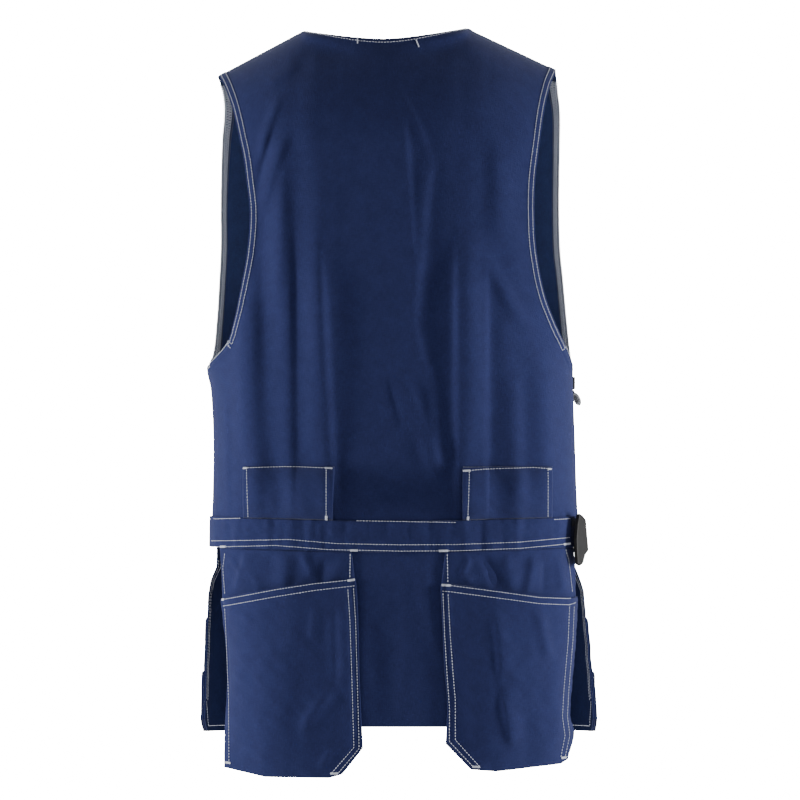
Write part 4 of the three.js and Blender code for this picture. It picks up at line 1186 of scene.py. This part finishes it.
for side_name in SIDES:
    def mouth_of(x, rows=back_pockets[side_name]["mouth"]):
        return -read(rows, "at", "drop", x / body_half_width) * tail_drop

    cloth_piece(f"back_pocket_backing_{side_name}_cloth", even(80), even(120),
                pocket_surface(side_name, backing_inset, pocket_top), lift=band_lift,
                relief=worn(backing_creases[side_name], seed=41, size=20, high=0.2),
                seams=backing_seams[side_name])
    cloth_piece(f"back_pouch_{side_name}_cloth", even(90, 0.05, 6), even(110, 0.05, 8),
                pocket_surface(side_name, 0, mouth_of),
                lift=lambda u, v, p: pouch_lift + back_pouch_bulge * belly(within(u), v),
                relief=worn(pouch_creases[side_name], seed=51, size=20, high=0.2),
                seams=pouch_seams[side_name], tacks=pouch_tacks[side_name])

# %% [markdown]
# ## Front holster pockets
# At each side a backing hangs from the front of the band, with a pouch on it and a smaller tool pouch on
# that one. Only their outer edges show from behind, standing off the hips. The three layers share one
# surface and differ in how high they reach and how far they stand out, so one loop makes them all.

# %% Rows of the front holsters
# They follow the edges, so they are listed as shares across and up each piece.
holster_rows = {
    "backing": [[(0.022, 0.12), (0.022, 0.93)], [(0.075, 0.14), (0.075, 0.93)],
                [(0.022, 0.12), (0.13, 0.03), (0.87, 0.03)]],
    "pouch": [[(0.022, 0.55), (0.022, 1)], [(0.07, 0.55), (0.07, 1)], [(0, 0.97), (1, 0.97)],
              [(0, 0.925), (1, 0.925)]],
    "tool_pouch": [[(0.022, 0.12), (0.022, 1)], [(0.07, 0.16), (0.07, 1)], [(0, 0.95), (1, 0.95)],
                   [(0.13, 0.05), (0.87, 0.05)], [(0.022, 0.12), (0.13, 0.05)]]}
share_step = 0.01


def grid_line(name, shares):
    """A line given in shares across and up a piece, as points on its outer face."""
    piece = made_pieces[name]
    grid = piece["outer"]
    line = resample(shares, share_step)[0]
    columns = np.interp(line[:, 0], piece["across"], np.arange(len(piece["across"])))
    rows = np.interp(line[:, 1], piece["up"], np.arange(len(piece["up"])))
    column = np.minimum(columns.astype(int), grid.shape[1] - 2)
    row = np.minimum(rows.astype(int), grid.shape[0] - 2)
    right, up = (columns - column)[:, None], (rows - row)[:, None]
    low = mix(grid[row, column], grid[row, column + 1], right)
    high = mix(grid[row + 1, column], grid[row + 1, column + 1], right)
    return mix(low, high, up)


# %% Surface of the front holsters
corner_share, swell_curve = 0.12, 1.6


def foot(u):
    """The height of the foot, which rises at both corners."""
    corner = np.maximum(0, 1 - np.minimum(u, 1 - u) / corner_share)
    return -holster_drop + holster_corner_drop * corner


def holster(side, u, v, top):
    """u runs forward from the outer edge and v up from the foot. Near the band the piece is narrower."""
    straight = side * mix(holster_outer, holster_inner, u)
    z = mix(foot(u), top(straight, u), v)
    narrowed = np.clip((z + holster_shoulder_drop) / holster_shoulder_tall, 0, 1)
    angle = side * mix(holster_outer - holster_shoulder * narrowed, holster_inner, u)
    return front_point(x_at_angle(angle, z, "front"), z)


def band_foot(angle, u):
    return band_z(x_at_angle(angle, np.full_like(u, band_at), "front"), 0) - under_band_gap


def upper_mouth(angle, u):
    return -holster_drop + holster_pouch_tall + holster_mouth_rise * u


def lower_mouth(angle, u):
    return -holster_drop + tool_pouch_tall + holster_mouth_rise * u


def swell(u, v):
    return belly(np.clip(within(u), 0, 1) ** swell_curve, v)


def height_share(z, u):
    return (z - foot(u)) / (upper_mouth(0, u) - foot(u))


# %% Front holster layers
# Each layer has its top edge and its distance from the body, and all flare out towards the foot.
upper_lift = pouch_lift + canvas + layer_gap
tool_share = 0.5
for side_name, side in SIDES.items():
    def flare_at(p, flare=holster_flare[side_name]):
        below = -p[..., 2] - band_top_drop - band_tall
        return flare * np.clip(below / (holster_drop - band_top_drop), 0, 1)

    layers = [
        ("backing", band_foot, lambda u, v, p: band_lift + flare_at(p)),
        ("pouch", upper_mouth, lambda u, v, p: pouch_lift + flare_at(p) + holster_bulge * swell(u, v)),
        ("tool_pouch", lower_mouth,
         lambda u, v, p: upper_lift + flare_at(p) + tool_pouch_bulge * swell(u, v * tool_share)
         + holster_bulge * swell(u, height_share(p[..., 2], u)))]
    for layer, top, lift in layers:
        name = f"front_holster_{layer}_{side_name}_cloth"
        cloth_piece(name, even(50, 0.05, 6), even(60, 0.05, 6),
                    lambda u, v, side=side, top=top: holster(side, u, v, top), lift=lift,
                    relief=worn(None, seed=61, size=24, high=0.3), inside=navy_shaded)
        for line in holster_rows[layer]:
            sew(name, grid_line(name, line))
            if layer == "backing":
                sew(name, grid_line(name, line), behind=canvas)

# %% [markdown]
# ## Strap, buckle and side zip
# The buckle stands turned on the side of the waistband, so it is seen at a grazing angle. Its outline is
# read off the photograph and stretched back to its real length along the strap. The strap runs from
# behind it to the front half of the band. It is stiff webbing, so its path is a smooth line on the body.

# %% Places in the buckle's turned frame
buckle_turn, buckle_x, buckle_y = 0.4, 220.8, -57
strap_low, strap_high, strap_thick = -610.5, -576.5, 1.4
behind_buckle = [(-2.4, 0.5), (-2.4, 12), (-2.4, 26), (-2.2, 38)]
strap_stations = (0.05, 0.25, 0.5, 0.75, 1.0)
buckle_thick, buckle_bevel = 5.0, 0.9
buckle_first_px, buckle_px_per_mm = 576.8, 0.33
print(f"buckle turned by {math.degrees(buckle_turn):.0f} degrees")


def turned(out, along):
    """Out of the buckle's face and along the strap, as x and y in the frame."""
    return (buckle_x + math.cos(buckle_turn) * out + math.sin(buckle_turn) * along,
            buckle_y - math.sin(buckle_turn) * out + math.cos(buckle_turn) * along)


# %% Waist strap
strap_line = [turned(out, along) for out, along in behind_buckle]
for share in strap_stations:
    y = share * strap_end - seam_gap
    half, depth = half_at(band_at, "front"), section(band_at, "front_depth") * body_depth_front
    reach = half * (1 - (y / depth) ** section_power) ** (1 / section_power)
    strap_line.append((centre_at(band_at) + reach + (canvas + 2 * layer_gap) * (2 - share), y))
strap_line = resample(np.array(strap_line), line_step)[0]


def strap(u, v):
    at = u * (len(strap_line) - 1)
    x, y = [np.interp(at, np.arange(len(strap_line)), strap_line[:, i]) for i in (0, 1)]
    return np.stack([x, y, mix(strap_low, strap_high, v)], -1)


cloth_piece("waist_strap_right_cloth", even(80), even(20), strap, thick=strap_thick, finish=navy_tape)

# %% [markdown]
# ## Side zip
# A short zip closes a pocket in the side of the front: a tape, two rows of teeth that mesh in its middle,
# a slider and a ribbed pull. Boxes would be closer to real teeth, but at 1.5 mm wide rounded grains look the
# same, so a row of teeth is laid with the same routine as the stitches.

# %% Side zip tape and its teeth
tooth_pitch, tooth_long, tooth_wide, tooth_lift = 2.4, 2.8, 1.5, 0.4
tooth_rows, row_end = (0.4, 0.6), 0.02


def zip_point(share, z):
    depth = section(z, "front_depth") * body_depth_front
    return front_point(x_at_angle(side_zip_angle - share * side_zip_across / depth, z, "front"), z)


def zip_tape(u, v):
    return zip_point(u - 0.5, -side_zip_drop - side_zip_long * (1 - v))


cloth_piece("side_zip_tape_cloth", even(8), even(60), zip_tape, lift=canvas + layer_gap, thick=tape,
            finish=navy_tape)
for share in tooth_rows:
    teeth = grid_line("side_zip_tape_cloth", [(share, row_end), (share, 1 - row_end)])
    middles, along = resample(teeth, tooth_pitch)
    middles, outward = settle(made_pieces["side_zip_tape_cloth"]["tree"], middles)
    strands("side_zip_tape_cloth", middles + outward * tooth_lift, np.cross(outward, along), outward,
            tooth_long, tooth_wide, "metal")
    print(f"teeth in a row: {len(middles)}")


# %% A moulded piece
def moulded_piece(name, work, finishes, node):
    """Turns a finished bmesh into the piece that stands for a CAD node."""
    mesh = bpy.data.meshes.new(name)
    work.to_mesh(mesh)
    work.free()
    for finish in finishes:
        mesh.materials.append(finish)
    made = bpy.data.objects.new(name, mesh)
    bpy.context.scene.collection.objects.link(made)
    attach(made, "root")
    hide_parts(node)
    print(f"{name}: {len(mesh.polygons)} faces")


# %% [markdown]
# ## Buckle
# The buckle is one moulding with a shallow sunk field inside its rim. Its outline becomes one face, which
# is inset and sunk, given a wall by solidify, and bevelled where its edges are sharp, because a moulded
# edge is always a little round and catches the light.

# %% Buckle
rim_wide, rim_deep, wall_share, sharp_angle = 4, 1.2, 0.9, 0.6
buckle_outline = [(577.2, 513.4), (580.4, 515.4), (583.9, 520), (585.2, 535), (586.6, 550.4), (583.2, 555),
                  (581, 563.4), (578, 565.8), (575.4, 564), (574.6, 551), (574.3, 538), (575.4, 524)]
buckle_work = bmesh.new()
corners = []
for px, py in buckle_outline:
    x, y = turned(buckle_thick, (px - buckle_first_px) / buckle_px_per_mm)
    corners.append(buckle_work.verts.new(Vector((x, y, (origin_py - py) * pixel_mm)) * MM))
face = buckle_work.faces.new(corners)
face.normal_update()
if face.normal.x < 0:
    face.normal_flip()
bmesh.ops.inset_region(buckle_work, faces=[face], thickness=rim_wide * MM, depth=-rim_deep * MM)
bmesh.ops.recalc_face_normals(buckle_work, faces=buckle_work.faces[:])
bmesh.ops.solidify(buckle_work, geom=buckle_work.faces[:], thickness=buckle_thick * MM * wall_share)
sharp = [edge for edge in buckle_work.edges if edge.is_manifold and edge.calc_face_angle() > sharp_angle]
bmesh.ops.bevel(buckle_work, geom=sharp, offset=buckle_bevel * MM, affect="EDGES", segments=2, profile=0.5,
                material=-1)
moulded_piece("waist_buckle_moulded", buckle_work, [black_plastic], "waist_buckle")

# %% [markdown]
# ## Zip pull
# The pull is a flat oval of rubber with a pale sunk face and three ribs for the fingers, on a short stem.
# It starts as a circle, stretched and inset, and the ribs and the stem are boxes let into it. It is made
# lying flat at the origin, then turned upright and carried to its slider.

# %% Zip pull
pull_half, pull_tilt, pull_middle = Vector((4.4, 8.4, 0)), -0.43, Vector((227.7, 37.6, -435.6))
pull_rim, pull_sunk, pull_thick = 0.9, 0.5, 1.6
rib_places, rib_wide, rib_tall, rib_lift = ((-1.7, 4.4), (0.0, 5.6), (1.7, 4.4)), 0.55, 0.8, 0.1
stem_size, stem_up, stem_back = (2.6, 4.0, 1.4), 1.2, -0.6
pull_work = bmesh.new()
bmesh.ops.create_circle(pull_work, cap_ends=True, segments=32, radius=1.0)
bmesh.ops.scale(pull_work, verts=pull_work.verts[:], vec=(pull_half.x, pull_half.y, 1))
front = pull_work.faces[:]
bmesh.ops.inset_region(pull_work, faces=front, thickness=pull_rim, depth=-pull_sunk)
for face in pull_work.faces:
    face.material_index = 1 if face in front else 0
bmesh.ops.solidify(pull_work, geom=pull_work.faces[:], thickness=pull_thick)

# %% Ribs and stem of the pull
for offset, half_long in rib_places:
    rib = bmesh.ops.create_cube(pull_work, size=1.0)["verts"]
    bmesh.ops.scale(pull_work, verts=rib, vec=(rib_wide, 2 * half_long, rib_tall))
    bmesh.ops.translate(pull_work, verts=rib, vec=(offset, 0, rib_lift))
stem = bmesh.ops.create_cube(pull_work, size=1.0)["verts"]
bmesh.ops.scale(pull_work, verts=stem, vec=stem_size)
bmesh.ops.translate(pull_work, verts=stem, vec=(0, pull_half.y + stem_up, stem_back))
turn = Matrix.Rotation(pull_tilt, 4, "Y") @ Matrix.Rotation(math.radians(90), 4, "X")
bmesh.ops.transform(pull_work, matrix=Matrix.Scale(MM, 4) @ Matrix.Translation(pull_middle) @ turn,
                    verts=pull_work.verts[:])
moulded_piece("side_zip_pull_ribbed", pull_work, [pull_rubber, pull_face], "side_zip_pull")

# %% [markdown]
# ## The thread of each piece
# Every stitch is the same small ellipsoid with 36 faces, turned and placed where it was kept. Thousands of
# objects would be slow, so the copies of one piece and one colour become one mesh.

# %% The template of a stitch
template_work = bmesh.new()
bmesh.ops.create_uvsphere(template_work, u_segments=6, v_segments=4, radius=0.5)
bmesh.ops.triangulate(template_work, faces=template_work.faces[:])
template_work.verts.ensure_lookup_table()
template_points = np.array([vert.co[:] for vert in template_work.verts])
template_faces = np.array([[vert.index for vert in face.verts] for face in template_work.faces])
template_work.free()
print("faces of a stitch:", len(template_faces))

# %% The threads
thread_finishes = {"white": white_thread, "grey": grey_thread, "metal": zip_metal}
for (name, colour), jobs in thread_work.items():
    spots = []
    for middles, along, outward, long, wide in jobs:
        side = np.cross(outward, along)
        side /= np.linalg.norm(side, axis=1, keepdims=True)
        up = np.cross(along, side)
        shape_x, shape_y, shape_z = template_points.T[:, None, :, None]
        spots.append((middles[:, None] + along[:, None] * shape_z * long
                      + side[:, None] * shape_x * wide
                      + up[:, None] * shape_y * wide * thread_flat).reshape(-1, 3))
    spots = np.concatenate(spots)
    count = len(spots) // len(template_points)
    faces = (template_faces[None] + np.arange(count)[:, None, None] * len(template_points)).reshape(-1, 3)
    mesh = bpy.data.meshes.new(f"{name.replace('_cloth', '')}_{colour}_stitches")
    mesh.from_pydata((spots * MM).tolist(), [], faces.tolist())
    mesh.shade_smooth()
    mesh.materials.append(thread_finishes[colour])
    stitches = bpy.data.objects.new(mesh.name, mesh)
    bpy.context.scene.collection.objects.link(stitches)
    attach(stitches, "root")
    print(f"{mesh.name}: {count} stitches")

# %% [markdown]
# ## Pieces kept from the CAD model
# The centre zip and the small slider are hard pieces whose CAD form is already what the render needs, so
# they only get their finish.

# %% Finish of the kept pieces
for node, finish in (("front_zip", zip_metal), ("side_zip_slider", black_plastic)):
    piece = frame["nodes"][node]
    piece.data.materials.clear()
    piece.data.materials.append(finish)
    print(f"{node}: {finish.name}")

# %% [markdown]
# ## Studio
# The photograph has a white ground and tall lights at both sides, so the middle of the back is darkest
# and every upright fold has a light and a dark flank. Two softboxes stand at the sides, only a little
# nearer to the camera than the back is, so that their light grazes it. One large light in front would be
# simpler, but it would flatten the folds.

# %% Softboxes
def softbox(name, place, aim, power, wide, tall):
    data = bpy.data.lights.new(name, "AREA")
    data.shape = "RECTANGLE"
    data.size, data.size_y, data.energy = wide, tall, power
    lamp = bpy.data.objects.new(name, data)
    lamp.location = place
    lamp.rotation_mode = "QUATERNION"
    lamp.rotation_quaternion = (Vector(aim) - Vector(place)).to_track_quat("-Z", "Y")
    bpy.context.scene.collection.objects.link(lamp)
    print(f"{name}: {power} W")


light_x, light_y, light_z, light_aim = 2.6, -0.4, -0.65, (0, -0.1, -0.5)
light_wide, light_tall = 0.36, 1.5
for name, side, power in (("softbox_left", -1, 102), ("softbox_right", 1, 100)):
    softbox(name, (side * light_x, light_y, light_z), light_aim, power, light_wide, light_tall)

# %% White ground and soft fill
# The camera sees a ground bright enough to print as pure white, and the vest gets only a faint part of it.
fill_strength, ground_strength = 0.36, 24.0
world = bpy.data.worlds.new("studio")
bpy.context.scene.world = world
world.use_nodes = True
world.node_tree.nodes.clear()
path = add(world.node_tree, "ShaderNodeLightPath")
strength = add(world.node_tree, "ShaderNodeMapRange",
               {"Value": path.outputs["Is Camera Ray"], "To Min": fill_strength,
                "To Max": ground_strength})
ground = add(world.node_tree, "ShaderNodeBackground",
             {"Color": (1, 1, 1, 1), "Strength": strength.outputs[0]})
add(world.node_tree, "ShaderNodeOutputWorld", {"Surface": ground.outputs[0]})
print(f"ground {ground_strength}, fill {fill_strength}")

# %% Floor
floor_half, floor_z = 4.0, -1.05
floor_mesh = bpy.data.meshes.new("floor")
floor_work = bmesh.new()
bmesh.ops.create_grid(floor_work, x_segments=1, y_segments=1, size=floor_half)
bmesh.ops.translate(floor_work, verts=floor_work.verts, vec=(0, 0, floor_z))
floor_work.to_mesh(floor_mesh)
floor_work.free()
floor = bpy.data.objects.new("floor", floor_mesh)
bpy.context.scene.collection.objects.link(floor)
floor_mesh.materials.append(plain_finish("matt_studio_floor", "#efefef", 0.9))
print("floor:", floor_z, "m")
